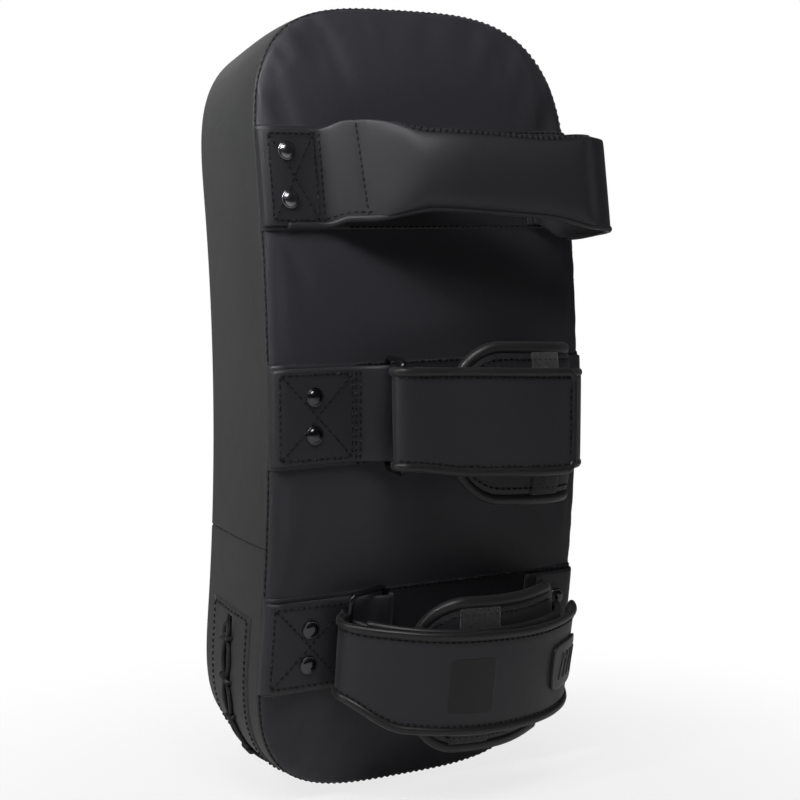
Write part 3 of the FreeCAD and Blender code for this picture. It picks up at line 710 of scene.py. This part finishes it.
def fill_ring(vertices, base, ring, across, up, height):
    """Adds a grid inside a ring whose points lie in vertices from base on, and returns its faces."""
    top = ring[:across + 1]
    left = ring[across:across + up + 1]
    bottom = ring[across + up:2 * across + up + 1][::-1]
    right = np.concatenate([ring[2 * across + up:], ring[:1]])[::-1]
    index = {}
    for i in range(across + 1):
        for j in range(up + 1):
            if j == 0:
                index[i, j] = base + i
            elif i == across:
                index[i, j] = base + across + j
            elif j == up:
                index[i, j] = base + 2 * across + up - i
            elif i == 0:
                index[i, j] = base + len(ring) - j
            else:
                a, b = i / across, j / up
                flat = ((1 - b) * top[i] + b * bottom[i] + (1 - a) * right[j] + a * left[j]
                        - (1 - a) * (1 - b) * top[0] - a * (1 - b) * top[-1]
                        - (1 - a) * b * bottom[0] - a * b * bottom[-1])
                distance = float(np.sqrt(((OUTLINE[::6] - flat) ** 2).sum(1).min()))
                index[i, j] = len(vertices)
                vertices.append(body_point(flat[0], flat[1], height(flat[0], flat[1], distance)))
    return [(index[i, j], index[i + 1, j], index[i + 1, j + 1], index[i, j + 1])
            for i in range(across) for j in range(up)]


def panel(name, rings, height, material, node, across=56, up=124):
    """A panel whose rim follows rings of (grow, rho) and whose middle has the height(x, s, distance)."""
    places = ring_places(across, up)
    count = len(places)
    vertices = []
    for grow, rho in rings:
        pull = PUCKER * max(0.0, 1 - abs(grow) / PUCKER_REACH)
        for place_along, (x, s) in zip(places, on_outline(places, grow)):
            vertices.append(body_point(x, s, rho + pull * ripple(place_along)))
    faces = joined_rings(len(rings), count)
    ring = on_outline(places, rings[-1][0])
    faces += fill_ring(vertices, (len(rings) - 1) * count, ring, across, up, height)
    if rings[0][1] > rings[-1][1]:
        faces = [face[::-1] for face in faces]
    made = make_object(name, vertices, faces, material, None)
    inflate(made, range(3 * count))
    place(solidify(made, SKIN), "pad", node)


def foam_layer(node, low, high, across=20, up=44):
    """A slab of foam that fills the pad between two distances from the bend axis."""
    places = ring_places(across, up)
    count = len(places)
    rim = on_outline(places, -FOAM_INSET - FOAM_ROUND)
    side = on_outline(places, -FOAM_INSET)
    vertices = []
    for rho, ring in ((low, rim), (low + FOAM_ROUND, side), (high - FOAM_ROUND, side), (high, rim)):
        vertices += [body_point(x, s, rho) for x, s in ring]
    faces = joined_rings(4, count)
    faces += fill_ring(vertices, 3 * count, rim, across, up, lambda x, s, distance: high)
    lower = fill_ring(vertices, 0, rim, across, up, lambda x, s, distance: low)
    faces += [face[::-1] for face in lower]
    make_object(node + "_layer", vertices, faces, FOAM, "pad", node)


def rear_height(x, s, distance):
    """The rear panel: pulled down along the three bands and softly stuffed between them."""
    nearest = min(abs(s - centre) for centre in (HANDLE_S, MIDDLE_S, LOWER_S))
    rise = min(max((distance - 0.004) / 0.03, 0.0), 1.0)
    waves = 0.00025 * math.sin(47 * x + 2.0) * math.sin(39 * s + 0.7)
    return REAR_RHO - 0.0002 + rise * ease((nearest - BAND_HALF_HEIGHT) / 0.022) * (0.0010 + waves)


def strike_height(x, s, distance):
    """The strike panel: a rolled rim and a long, low crown, with faint dents."""
    roll = min(distance / 0.034, 1.0)
    crown = 0.0120 * (1 - (1 - roll) ** 2.6) ** 0.55
    swell = 0.0009 * (1 - (x / HALF_WIDTH) ** 2)
    waves = 0.0003 * math.sin(33 * x + 1.0) * math.sin(27 * s)
    return STRIKE_SEAM_RHO - crown - (swell + waves) * roll


def build_panels():
    panel("rear_panel_leather", REAR_RIM, rear_height, PAD_LEATHER, "rear_panel")
    rings = list(STRIKE_RIM)
    for inset in (-0.0010, 0.0002, 0.0014, 0.0028, 0.0046):
        drop = strike_height(0.0, 0.0, STRIKE_OVERHANG + inset)
        rings.append((-inset, min(drop, rings[-1][1] - 0.0004)))
    panel("strike_panel_leather", rings, lambda x, s, d: strike_height(x, s, d + STRIKE_OVERHANG),
          STRIKE_LEATHER, "strike_panel")
    foam_layer("rear_foam", 0.7032, 0.7220)
    foam_layer("core_foam", 0.6772, 0.7028)
    foam_layer("strike_foam", 0.6600, 0.6768)


def gusset_grow(rho, end_distance=1.0):
    """How far the gusset stands out: a soft bulge, fuller at the strike side, that dives in at seams."""
    half = (REAR_SEAM_RHO - STRIKE_SEAM_RHO) / 2
    share = (rho - SLIT_RHO) / half
    bulge = GUSSET_GROW + 0.0004 * (1 - share ** 2) - 0.0018 * max(share, 0.0) ** 2
    for distance, depth in ((half - abs(rho - SLIT_RHO), 0.0014), (end_distance, 0.0012)):
        if distance < SEAM_ROUND:
            bulge -= depth * (1 - math.sqrt(max(1 - ((SEAM_ROUND - distance) / SEAM_ROUND) ** 2, 0.0)))
    return bulge


def edge_spaced(low, high, pitch):
    """Places between two ends, crowded together near both so that a turned edge stays round."""
    near = [0.0, 0.0001, 0.00025, 0.0005, 0.0008, 0.0012, 0.0018, 0.003, 0.0045]
    inside = np.linspace(low + 0.007, high - 0.007, max(int((high - low) / pitch), 2))
    return np.concatenate([[low + d for d in near], inside, [high - d for d in reversed(near)]])


def in_slit(place_along, rho):
    """Whether a place on the gusset lies in the laced slit."""
    return SLIT_START < place_along < SLIT_END and abs(rho - SLIT_RHO) < SLIT_HALF_WIDTH


def gusset_strip(name, begin, finish, rhos, grow, node, open_slit=False, thickness=SKIN):
    """A strip round the outline between two places, with rows at rhos, and the slit left open."""
    places = edge_spaced(begin, finish, 0.0032)
    vertices = []
    for place_along in places:
        ends = min(place_along - begin, finish - place_along)
        for rho in rhos:
            x, s = on_outline([place_along], grow(rho, ends))[0]
            vertices.append(body_point(x, s, rho))
    rows = len(rhos)
    faces = []
    for c, middle in enumerate((places[:-1] + places[1:]) / 2):
        for r in range(rows - 1):
            if not (open_slit and in_slit(middle, (rhos[r] + rhos[r + 1]) / 2)):
                faces.append((c * rows + r, c * rows + r + 1, (c + 1) * rows + r + 1, (c + 1) * rows + r))
    solidify(make_object(name, vertices, faces, GUSSET_LEATHER, "pad", node), thickness)


def place_of_s(s, sign):
    """Where on the outline the +X side (sign 1) or the -X side (sign -1) reaches the height s."""
    for i, ((x, first), (_, second)) in enumerate(zip(OUTLINE, OUTLINE[1:])):
        if x * sign > 0.02 and min(first, second) <= s < max(first, second):
            break
    place_along = TRAVELLED[i] + (TRAVELLED[i + 1] - TRAVELLED[i]) * abs((s - first) / (second - first))
    return place_along - PERIMETER if sign > 0 and place_along > PERIMETER / 2 else place_along


RIGHT_JOIN, LEFT_JOIN = (place_of_s(GUSSET_JOIN_S, sign) for sign in (1, -1))
LACING_END, LACING_START = (place_of_s(LACING_TOP_S, sign) for sign in (1, -1))
SLIT_END, SLIT_START = (place_of_s(LACING_TOP_S - SLIT_SHORTER, sign) for sign in (1, -1))
LACING_END += PERIMETER
SLIT_END += PERIMETER


def facing_grow(rho, end_distance):
    edge = min(FACING_HALF_WIDTH - abs(rho - SLIT_RHO), end_distance)
    return gusset_grow(rho) + FACING_LIFT - 0.0006 * max(0.0, 1 - edge / 0.0015)


def build_gusset():
    rhos = edge_spaced(STRIKE_SEAM_RHO, REAR_SEAM_RHO, 0.0035)
    gusset_strip("gusset_upper_leather", RIGHT_JOIN, LEFT_JOIN, rhos, gusset_grow, "gusset_upper")
    slit = [SLIT_RHO - SLIT_HALF_WIDTH, SLIT_RHO + SLIT_HALF_WIDTH]
    gusset_strip("gusset_lower_leather", LEFT_JOIN, RIGHT_JOIN + PERIMETER,
                 np.array(sorted(set(list(rhos) + slit))), gusset_grow, "gusset_lower", True)
    facing_rhos = np.concatenate([np.linspace(SLIT_RHO - FACING_HALF_WIDTH, slit[0], 9),
                                  np.linspace(slit[1], SLIT_RHO + FACING_HALF_WIDTH, 9)])
    gusset_strip("lacing_facing_leather", LACING_START, LACING_END, facing_rhos, facing_grow,
                 "lacing_facing", True, FACING_THICKNESS)
    tongue_rhos = np.linspace(SLIT_RHO - TONGUE_HALF_WIDTH, SLIT_RHO + TONGUE_HALF_WIDTH, 13)
    gusset_strip("lacing_tongue_leather", LACING_START + TONGUE_INSET, LACING_END - TONGUE_INSET,
                 tongue_rhos, lambda rho, end_distance: TONGUE_GROW, "lace_tongue",
                 thickness=FACING_THICKNESS)


def gusset_line(trail):
    """(points, normals) along (place, rho, grow) on the gusset."""
    points, normals = [], []
    for place_along, rho, grow in trail:
        near, far = (body_point(*on_outline([place_along], grow + step)[0], rho) for step in (0.0, 0.001))
        points.append(near)
        normals.append((far - near).normalized())
    return points, normals


def build_body_seams():
    """Stitches down in the seams between the gusset and both panels, and round the lacing's facing."""
    around = np.linspace(0, PERIMETER, 800)
    seams = [gusset_line([(p, rho, SEAM_DEPTH) for p in around])
             for rho in (REAR_SEAM_RHO + SEAM_DEPTH, STRIKE_SEAM_RHO - SEAM_DEPTH)]
    sew("body_seam_stitches", seams, slot="pad_leather", pitch=0.0036)
    begin, finish = LACING_START + 0.002, LACING_END - 0.002
    sides = [SLIT_RHO + sign * (FACING_HALF_WIDTH - 0.0022) for sign in (1, -1)]
    rows = [[(p, rho, gusset_grow(rho) + FACING_LIFT) for p in np.linspace(begin, finish, 400)]
            for rho in sides]
    low, high = (SLIT_RHO + sign * (FACING_HALF_WIDTH - 0.002) for sign in (-1, 1))
    rows += [[(p, rho, gusset_grow(rho) + FACING_LIFT) for rho in np.linspace(low, high, 30)]
             for p in (begin, finish)]
    sew("lacing_facing_stitches", [gusset_line(row) for row in rows], slot="gusset_leather")


def lace_point(place_along, shift, lift):
    """A place on the lacing: shift across the slit and lift over the facing."""
    x, s = on_outline([place_along], GUSSET_GROW + FACING_RISE + lift)[0]
    return body_point(x, s, SLIT_RHO + shift)


def cord(name, points, nodes="", closed=False):
    """A round cord of the lacing along points, with rounded ends."""
    last = len(points) - 1
    rows = []
    side = None
    for i, point in enumerate(points):
        before = points[i - 1] if i > 0 or closed else point
        after = points[(i + 1) % len(points)] if i < last or closed else point
        along = (after - before).normalized()
        side = side or along.orthogonal().normalized()
        side = (side - along * side.dot(along)).normalized()
        size = LACE_RADIUS * (0.45 if not closed and i in (0, last) else 1.0)
        rows.append(ring_of(point, side, along.cross(side), size, 12))
    if closed:
        rows.append(rows[0])
    make_object(name, *swept(rows, not closed), CORD, "pad", nodes)


def build_lacing():
    """The cord: two bowed runs from bar to bar along the slit, the bars, and a loop at each end."""
    begin, finish = LACING_START + LACE_MARGIN, LACING_END - LACE_MARGIN
    stations = np.linspace(begin, finish, max(int((finish - begin) / LACE_PITCH), 2) + 1)
    for number, side in enumerate((1, -1)):
        points = []
        for first, second in zip(stations, stations[1:]):
            for turn in np.arange(10) / 10:
                bow = side * (LACE_NARROW + LACE_BOW * math.sin(math.pi * turn))
                points.append(lace_point(first + (second - first) * turn, bow, 0.9 * LACE_RADIUS))
            side = -side
        points.append(lace_point(stations[-1], side * LACE_NARROW, 0.9 * LACE_RADIUS))
        cord("lace_run_%d" % number, points, "" if number else "lace_cord")
    for number, station in enumerate(stations):
        bar = []
        for share in np.linspace(-1.0, 1.0, 13):
            lean = 0.0012 * share * (1 if number % 2 else -1)
            dive = 3.0 * LACE_RADIUS * max(abs(share) - 0.8, 0.0) / 0.2
            bar.append(lace_point(station + lean, share * LACE_REACH, 2.0 * LACE_RADIUS - dive))
        cord("lace_bar_%02d" % number, bar)
    for number, (station, way) in enumerate(((stations[0], -1), (stations[-1], 1))):
        loop = [lace_point(station + way * (0.0042 + 0.0038 * math.cos(turn)), 0.0030 * math.sin(turn),
                           LACE_RADIUS * (1.3 + 0.4 * math.sin(turn)))
                for turn in 2 * math.pi * np.arange(32) / 32]
        cord("lace_loop_%d" % number, loop, closed=True)


# --- On the rear panel -----------------------------------------------------------------------------

def panel_path(x_low, height, tuck_low=False):
    """A centre line (x, h) along the rear panel that tucks into its +X seam, and maybe its -X seam."""
    tuck = [(0.0912, height * 0.4 - 0.0040), (0.0905, height * 0.6 - 0.0022),
            (0.0885, height * 0.9 - 0.0007)]
    path = tuck + [(x, height) for x in np.linspace(TUCK_X, x_low, 9)]
    return path + [(-x, h) for x, h in reversed(tuck)] if tuck_low else path


def build_bands():
    """The three base bands across the panel, each with its edges rolled under and stitched."""
    for name, s in (("handle", HANDLE_S), ("middle", MIDDLE_S), ("lower", LOWER_S)):
        strip = Strip(s, panel_path(-TUCK_X, 0.0006, tuck_low=True))
        sheet(name + "_base_band_leather", strip, 0.0, strip.length, BAND_HALF_HEIGHT, 0.0009,
              STRAP_LEATHER, 5.0, nodes=name + "_base_band")
        begin = strip.u_at_x(BAND_STITCH_X)
        sew(name + "_base_band_stitches", [
            strip.line([(begin, w, 0.0008), (strip.length - 0.004, w, 0.0008)])
            for w in (BAND_HALF_HEIGHT - 0.0012, -BAND_HALF_HEIGHT + 0.0012)])


def sewn_foot(name, s, nodes=""):
    """The far end of a strap, sewn to the panel and tucked into its -X seam."""
    strip = Strip(s, [(-x, h) for x, h in panel_path(0.060, 0.0026)])
    sheet(name, strip, 0.0, strip.length, SEWN_HALF_HEIGHT, SHEET_HALF, STRAP_LEATHER,
          columns=24, nodes=nodes)


def build_rivets():
    """Domed caps with a rim on every rivet, at the CAD rivets' own places."""
    profile = [(0.0010, 0.00177), (0.0020, 0.00163), (0.0029, 0.0013), (0.0035, 0.0009), (0.0038, 0.00055),
               (0.0041, 0.0006), (0.0045, 0.00055), (0.0047, 0.00025), (0.0046, -0.0001)]
    side = Vector((1, 0, 0))
    for node, material, s in (("handle_rivets", RIVET_BRIGHT, HANDLE_S),
                              ("middle_rivets", RIVET_DARK, MIDDLE_S),
                              ("lower_rivets", RIVET_DARK, LOWER_S)):
        out = out_of(s)
        up = Vector((0, -out.z, out.y))
        points = [v.co.copy() for v in frame["nodes"][node].data.vertices]
        middle_w = sum(p.dot(up) for p in points) / len(points)
        vertices, faces = [], []
        for x_sign, w_sign in ((1, 1), (1, -1), (-1, 1), (-1, -1)):
            head = [p for p in points if p.x * x_sign > 0 and (p.dot(up) - middle_w) * w_sign > 0]
            heights = [p.dot(up) for p in head]
            seat = (side * (sum(p.x for p in head) / len(head)) + up * (max(heights) + min(heights)) / 2
                    + out * (max(p.dot(out) for p in head) - 0.0024))
            add_swept(vertices, faces, [ring_of(seat + out * height, side, up, radius, 36)
                                        for radius, height in profile])
        make_object(node + "_caps", vertices, faces, material, "pad", node)


# --- The handle ------------------------------------------------------------------------------------

def joint_place(name):
    """The anchor of a joint of the record."""
    return Vector(next(joint for joint in frame["joints"] if joint["name"] == name)["pos_m"])


def build_handle():
    strip = Strip(HANDLE_S, HANDLE_PATH, HANDLE_DROOP)
    grip_low, grip_high, tip, patch_end = (strip.u_at_x(x) for x in (0.044, -0.070, -0.0835, 0.0605))

    def padded(u):
        return ease((u - grip_low - 0.001) / 0.030) * (1 - ease((u - grip_high + 0.012) / 0.016))

    def half_height(u):
        return (0.0235 - 0.0052 * ease((u - grip_low - 0.002) / 0.034)
                + 0.0030 * ease((u - grip_high + 0.030) / 0.030) + 0.0016 * ease((u - tip - 0.006) / 0.02))

    def half_thickness(u):
        return SHEET_HALF + 0.0062 * padded(u)

    def pinched(u):
        return max(half_thickness(u) - 0.00035 * math.exp(-((u - grip_low) / 0.0012) ** 2), 0.0005)

    cover = sheet("handle_leather", strip, 0.0, strip.length, half_height, pinched, STRAP_LEATHER,
                  lambda u: 9.0 - 6.6 * padded(u), columns=190, rows=25, body=None)
    lip = bead("handle_lower_lip", strip,
               [(u, -half_height(u) + 0.0002) for u in np.linspace(0.012, strip.length - 0.016, 150)],
               0.0017, 0.0019, STRAP_LEATHER, body=None)
    lines = strip.box_cross(0.0050, patch_end - 0.003, 0.0208, ON_SHEET)
    for x in (0.0635, 0.0603):
        u = strip.u_at_x(x)
        lines.append(strip.line([(u, 0.0222, ON_SHEET), (u, -0.0222, ON_SHEET)]))
    slant, inner_off = 0.0015, ON_SHEET - 0.0003
    lines.append(strip.line([(grip_low - slant, 0.0225, inner_off),
                             (grip_low + slant, -0.0225, inner_off)]))
    lines.append(strip.line([(u, -half_height(u) + 0.0032, half_thickness(u) * 0.82)
                             for u in np.linspace(patch_end, grip_low + 0.004, 14)]))
    seams = sew("handle_stitches", lines, None)
    whips = []
    for u in np.arange(grip_low + 0.020, grip_high - 0.004, 0.0030):
        whips.append(strip.line([(u - 0.0008, half_height(u) - 0.0022, half_thickness(u) * 0.75),
                                 (u + 0.0012, half_height(u) + 0.0004, half_thickness(u) * 0.2)]))
    whip = sew("handle_whip_stitches", whips, None, pitch=0.0036, radius=0.0006)
    edge = bead("handle_upper_seam", strip,
                [(u, half_height(u) - 0.0002) for u in np.linspace(grip_low + 0.016, grip_high, 90)],
                0.0009, 0.0012, STRAP_LEATHER, body=None)
    origin, out = joint_place("handle_swing"), out_of(HANDLE_S)
    for piece in (cover, lip, seams, whip, edge):
        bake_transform(piece)
    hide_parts("handle_cover", "handle_end_right")
    core_ends = (grip_low + 0.010, grip_high - 0.010)
    sheet("handle_foam_core", strip, *core_ends, lambda u: half_height(u) - 0.003,
          lambda u: 0.6 * half_thickness(u), FOAM, 2.6, 0.0, 60, 15, body="handle", nodes="handle_foam")
    sheet("handle_webbing_core", strip, *core_ends, 0.010, 0.0006, WEBBING, 8.0, 0.0, 60, 9,
          body="handle", nodes="handle_webbing")
    sewn_foot("handle_far_end_leather", HANDLE_S, "handle_end_left")


# --- The forearm straps ----------------------------------------------------------------------------

def build_tab(name, spec):
    """The tab sewn to the panel and folded round the ring's held bar, with its box of stitches."""
    strip = Strip(spec["s"], [(0.0910, -0.0014), (0.0896, 0.0014), (0.0870, 0.0028)] + spec["tab"])
    off = 0.0014
    sheet(name + "_ring_tab_leather", strip, 0.0, strip.length, SEWN_HALF_HEIGHT, off, STRAP_LEATHER, 7.0,
          nodes=name + "_ring_tab")
    low, high = (strip.u_at_x(x) for x in spec["patch"])
    lines = strip.box_cross(low, high - 0.0028, 0.0205, off)
    for x in spec["stitch_x"]:
        u = strip.u_at_x(x)
        lines.append(strip.line([(u, 0.022, off), (u, -0.022, off)]))
    sew(name + "_ring_tab_stitches", lines)


def build_strap(name, spec):
    """A strap's two layers, returned as strips: the tail on top and the strap below it."""
    s, fold = spec["s"], spec["fold_half"]
    tail, under = (Strip(s, spec[layer], spec["droop"], 0.0005) for layer in ("tail", "under"))
    end = tail.length
    inset = TAPE_HALF_WIDTH - 0.0004

    def settle(u):
        return ease((u - 0.013) / 0.034)

    def half(u, full=STRAP_HALF_HEIGHT):
        return fold + (full - fold) * settle(u)

    def middle(u):
        return spec["fold_middle"] * (1 - settle(u))

    def tail_half(u):
        return min(half(u), rounded(end - u, STRAP_HALF_HEIGHT, TAIL_CORNER) + 1e-5)

    made = sheet(name + "_tail_leather", tail, 0.0, end - SHEET_HALF, lambda u: tail_half(u) - SHEET_HALF,
                 SHEET_HALF, STRAP_LEATHER, 8.0, middle, 130, body=None)
    radius = TAIL_CORNER - inset
    side = [(u, tail_half(u) - inset) for u in np.linspace(0.004, end - TAIL_CORNER, 90)]
    side += corner_arc(end - TAIL_CORNER, STRAP_HALF_HEIGHT - TAIL_CORNER, radius, radius, 8)
    edge = [(u, middle(u) + w) for u, w in side] + [(u, middle(u) - w) for u, w in reversed(side)]
    tape = bead(name + "_tail_edge_tape", tail, edge, TAPE_HALF_WIDTH, TAPE_HALF_THICKNESS, TAPE_LEATHER,
                TAPE_LIFT, body=None)
    gap = 2 * TAPE_HALF_WIDTH + 0.0003
    lines = [tail.line([(u, middle(u) + sign * (half(u) - gap), ON_SHEET)
                        for u in np.linspace(0.010, end - gap, 40)]) for sign in (1, -1)]
    reach = STRAP_HALF_HEIGHT - 2 * gap
    lines.append(tail.line([(end - gap, reach, ON_SHEET), (end - gap, -reach, ON_SHEET)]))
    seams = sew(name + "_tail_stitches", lines, None, radius=0.00042)
    pivot, out = joint_place(name + "_tail_peel"), out_of(s)
    ends = [pivot + Vector((x, 0, 0)) + out * h for x, h in spec["turn"]]
    for piece in (made, tape, seams):
        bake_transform(piece)
    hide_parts(name + "_tail")
    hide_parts(name + "_tail_binding")

    def under_half(u):
        return half(u + 0.008, STRAP_HALF_HEIGHT - 0.0008) - SHEET_HALF

    def under_middle(u):
        return middle(u + 0.008)

    sheet(name + "_strap_leather", under, 0.0, under.length, under_half, SHEET_HALF, STRAP_LEATHER, 8.0,
          under_middle, 110, nodes=name + "_strap")
    for number, sign in enumerate((1, -1)):
        run = [(u, under_middle(u) + sign * (under_half(u) + SHEET_HALF - inset))
               for u in np.linspace(0.008, under.length - 0.012, 90)]
        bead(name + "_strap_edge_tape_%d" % number, under, run, TAPE_HALF_WIDTH, TAPE_HALF_THICKNESS,
             TAPE_LEATHER, nodes="" if number else name + "_strap_binding")
    sewn_foot(name + "_strap_foot_leather", s)
    return tail, under


def build_forearm_pad(name, spec):
    """The cushion under a strap: a stuffed leather pillow with thick edge tape and a fuzzy patch."""
    body = name + "_forearm_pad"
    strip = Strip(spec["s"], spec["forearm"], (spec["forearm_w"], spec["droop"][1]))
    length = strip.length

    def half(u):
        return rounded(u, FOREARM_HALF_HEIGHT, FOREARM_CORNER)

    def cushion_half(u):
        return half(u) - FOREARM_INSET

    def thickness(u):
        start = min(max(u / 0.016, 0.0), 1.0)
        return 0.0015 + 0.0023 * math.sqrt(start * (2 - start))

    def crown(u, w):
        share = min(abs(w) / cushion_half(u), 1.0)
        return thickness(u) * (1 - share ** CUSHION_POWER) ** (1 / CUSHION_POWER) + 0.0004

    sheet(name + "_forearm_cushion", strip, FOREARM_INSET, length, cushion_half, thickness, STRAP_LEATHER,
          CUSHION_POWER, 0.0, 70, 31, body=body, nodes=name + "_forearm_cover")
    sheet(name + "_forearm_foam_core", strip, 0.006, length - 0.004, lambda u: half(u) - 0.006,
          lambda u: 0.6 * thickness(u), FOAM, CUSHION_POWER, 0.0, 40, 15, body=body,
          nodes=name + "_forearm_foam")
    outline = [(u, cushion_half(u)) for u in np.linspace(length * 0.86, FOREARM_CORNER, 60)]
    radius = FOREARM_CORNER - FOREARM_INSET
    outline += corner_arc(FOREARM_CORNER, FOREARM_HALF_HEIGHT - FOREARM_CORNER, -radius, radius, 20)
    outline += [(u, -w) for u, w in reversed(outline)]
    bead(name + "_forearm_edge_tape", strip, outline, 0.0032, 0.0030, TAPE_LEATHER, body=body,
         nodes=name + "_forearm_binding")
    inner = [(u + (0.0052 if abs(w) < 0.02 else 0.0), w - math.copysign(0.0052, w) if abs(w) > 0.006 else w)
             for u, w in outline[::2]]
    upper, lower = (strip.line([(u, w, off) for u, w in inner]) for off in (0.0030, -0.0030))
    sew(name + "_forearm_stitches", [upper, (lower[0], [-n for n in lower[1]])], body, radius=0.0004)
    low, high = (length * share for share in spec["fuzzy"])
    sheet(name + "_forearm_fuzzy_patch", Raised(strip, crown), low, high, FOREARM_HALF_HEIGHT - 0.0040,
          0.0005, LOOP_TAPE, 10.0, 0.0, 30, 41, body=body, nodes=name + "_forearm_loop")


def build_tail_patches(name, tail, under):
    """Hook tape under the tail and loop tape on the strap below it."""
    sheet(name + "_hook_tape", Raised(tail, -SHEET_HALF - 0.0006), tail.length * 0.5, tail.length * 0.93,
          0.0195, 0.0005, LOOP_TAPE, 10.0, 0.0, 40, 9, body=name + "_tail", nodes=name + "_hook_patch")
    sheet(name + "_loop_tape", Raised(under, SHEET_HALF + 0.0006), under.length * 0.24,
          under.length * 0.60, 0.0195, 0.0005, LOOP_TAPE, 10.0, 0.0, 50, 9, nodes=name + "_loop_patch")


def build_badge(tail):
    """On the lower tail: a glossier printed square and a raised rubber badge with plain slanted ribs."""
    u_print = tail.u_at_x(PRINT_X)

    def print_half(u):
        return PRINT_HALF_HEIGHT - 0.002 * (abs(u - u_print) / PRINT_HALF_LENGTH) ** 12

    sheet("lower_tail_printed_square", Raised(tail, SHEET_HALF + 0.00003), u_print - PRINT_HALF_LENGTH,
          u_print + PRINT_HALF_LENGTH, print_half, 0.00006, PRINT_INK, 20.0, -0.0010, 24, 21,
          body="lower_tail")
    centre = tail.length * BADGE_SHARE
    badge_strip = Raised(tail, SHEET_HALF + 0.0008)

    def half(u):
        share = min(abs(u - centre) / BADGE_HALF_LENGTH, 1.0)
        return 0.0118 * (1 - share ** 5) ** 0.2 + 1e-4

    sheet("lower_tail_badge", badge_strip, centre - BADGE_HALF_LENGTH, centre + BADGE_HALF_LENGTH, half,
          0.0010, BADGE_RUBBER, 5.0, 0.0, 50, 21, body="lower_tail", nodes="lower_badge")
    for number, shift in enumerate((-0.0075, -0.0025, 0.0025, 0.0075)):
        line = [(centre + shift - 0.0018, -0.0065), (centre + shift + 0.0018, 0.0065)]
        bead("lower_tail_badge_rib_%d" % number, badge_strip, line, 0.00085, 0.0006, BADGE_RUBBER, 0.0010,
             body="lower_tail")


# --- What stays of the CAD model --------------------------------------------------------------------

def finish_cad_nodes():
    """Materials for the CAD nodes that stay."""
    kept = {"ring": RING_METAL, "foam": FOAM, "washers": STEEL, "webbing": WEBBING,
            "tongue": GUSSET_LEATHER, "patch": LOOP_TAPE}
    for name, node in frame["nodes"].items():
        for word, material in kept.items():
            if name.endswith(word):
                node.data.materials.clear()
                node.data.materials.append(material)
                smooth(node.data)


# --- Stage -----------------------------------------------------------------------------------------

def area_light(name, position, size, power, aim=Vector((0, 0, 0)), spread=math.pi):
    """A soft box at a position from the target, aimed at a point that is also given from the target."""
    light = bpy.data.lights.new(name, "AREA")
    light.shape = "RECTANGLE"
    light.size, light.size_y = size
    light.energy = power
    light.spread = spread
    stand(name, light, TARGET + position, aim - position)


def stand(name, data, position, towards):
    """An object at a position that looks in a direction."""
    made = bpy.data.objects.new(name, data)
    made.location = position
    made.rotation_mode = "QUATERNION"
    made.rotation_quaternion = towards.to_track_quat("-Z", "Y")
    bpy.context.scene.collection.objects.link(made)
    return made


def build_stage():
    back = Vector((math.sin(AZIMUTH) * math.cos(ELEVATION), -math.cos(AZIMUTH) * math.cos(ELEVATION),
                   math.sin(ELEVATION)))
    right = Vector((math.cos(AZIMUTH), math.sin(AZIMUTH), 0))
    up = back.cross(right)
    camera = bpy.data.cameras.new("camera")
    camera.lens = LENS
    camera.sensor_width = 36.0
    bpy.context.scene.camera = stand("camera", camera, TARGET + back * DISTANCE, -back)
    area_light("overhead", up * 1.0 + back * 1.0, (0.80, 0.50), 10.5)
    area_light("side", right * -0.50 + up * 0.15 + back * 0.30, (0.15, 0.50), 0.62)
    area_light("top_left", right * -0.70 + up * 0.80 + back * 0.80, (0.25, 0.25), 0.42,
               right * -0.17 + up * 0.17, math.radians(25))
    area_light("strike_side", right * -0.6 + up * 0.6 - back * 1.3, (1.0, 1.0), 3.0)
    build_floor()
    build_world()
    bpy.context.scene.view_settings.view_transform = "Standard"


def build_floor():
    """Pale paper that fades to white away from the pad, so that no horizon shows."""
    paper = Surface("floor_paper")
    paper.finish(Base_Color=(0.9, 0.9, 0.9, 1.0), Roughness=0.95, Specular_IOR_Level=0.0)
    distance = paper.operate("VectorMath", "LENGTH", paper.add("NewGeometry").outputs["Position"])
    fade = paper.ranged(distance, 0.78, 1.0, From_Min=0.20, From_Max=0.42)
    fade.node.interpolation_type = "SMOOTHSTEP"
    seen = paper.operate("Math", "MULTIPLY", fade, paper.add("LightPath").outputs["Is Camera Ray"])
    white = paper.add("Emission", Strength=1.0).outputs["Emission"]
    paper.show(seen, paper.shader.outputs["BSDF"], white, "Material Output")
    mesh = bpy.data.meshes.new("floor")
    corners = [(x * FLOOR_REACH, y * FLOOR_REACH, cad_low.z - 0.0015)
               for x, y in ((-1, -1), (1, -1), (1, 1), (-1, 1))]
    mesh.from_pydata(corners, [], [(0, 1, 2, 3)])
    mesh.materials.append(paper.material)
    floor = bpy.data.objects.new("floor", mesh)
    bpy.context.scene.collection.objects.link(floor)


def build_world():
    """White where the camera sees it, and a much weaker white as light."""
    world = bpy.data.worlds.new("studio")
    bpy.context.scene.world = world
    world.use_nodes = True
    studio = Nodes(world.node_tree)
    white = (1.0, 1.0, 1.0, 1.0)
    ambient = world.node_tree.nodes["Background"]
    studio.put(white, ambient.inputs["Color"])
    studio.put(AMBIENT, ambient.inputs["Strength"])
    seen = studio.add("Background", Color=white, Strength=1.0)
    studio.show(studio.add("LightPath").outputs["Is Camera Ray"], ambient.outputs["Background"],
                seen.outputs["Background"], "World Output")


def main():
    finish_cad_nodes()
    build_panels()
    build_gusset()
    build_body_seams()
    build_lacing()
    build_bands()
    build_rivets()
    build_handle()
    for name, spec in STRAPS.items():
        build_tab(name, spec)
        tail, under = build_strap(name, spec)
        build_tail_patches(name, tail, under)
        build_forearm_pad(name, spec)
    build_badge(tail)
    build_stage()


main()
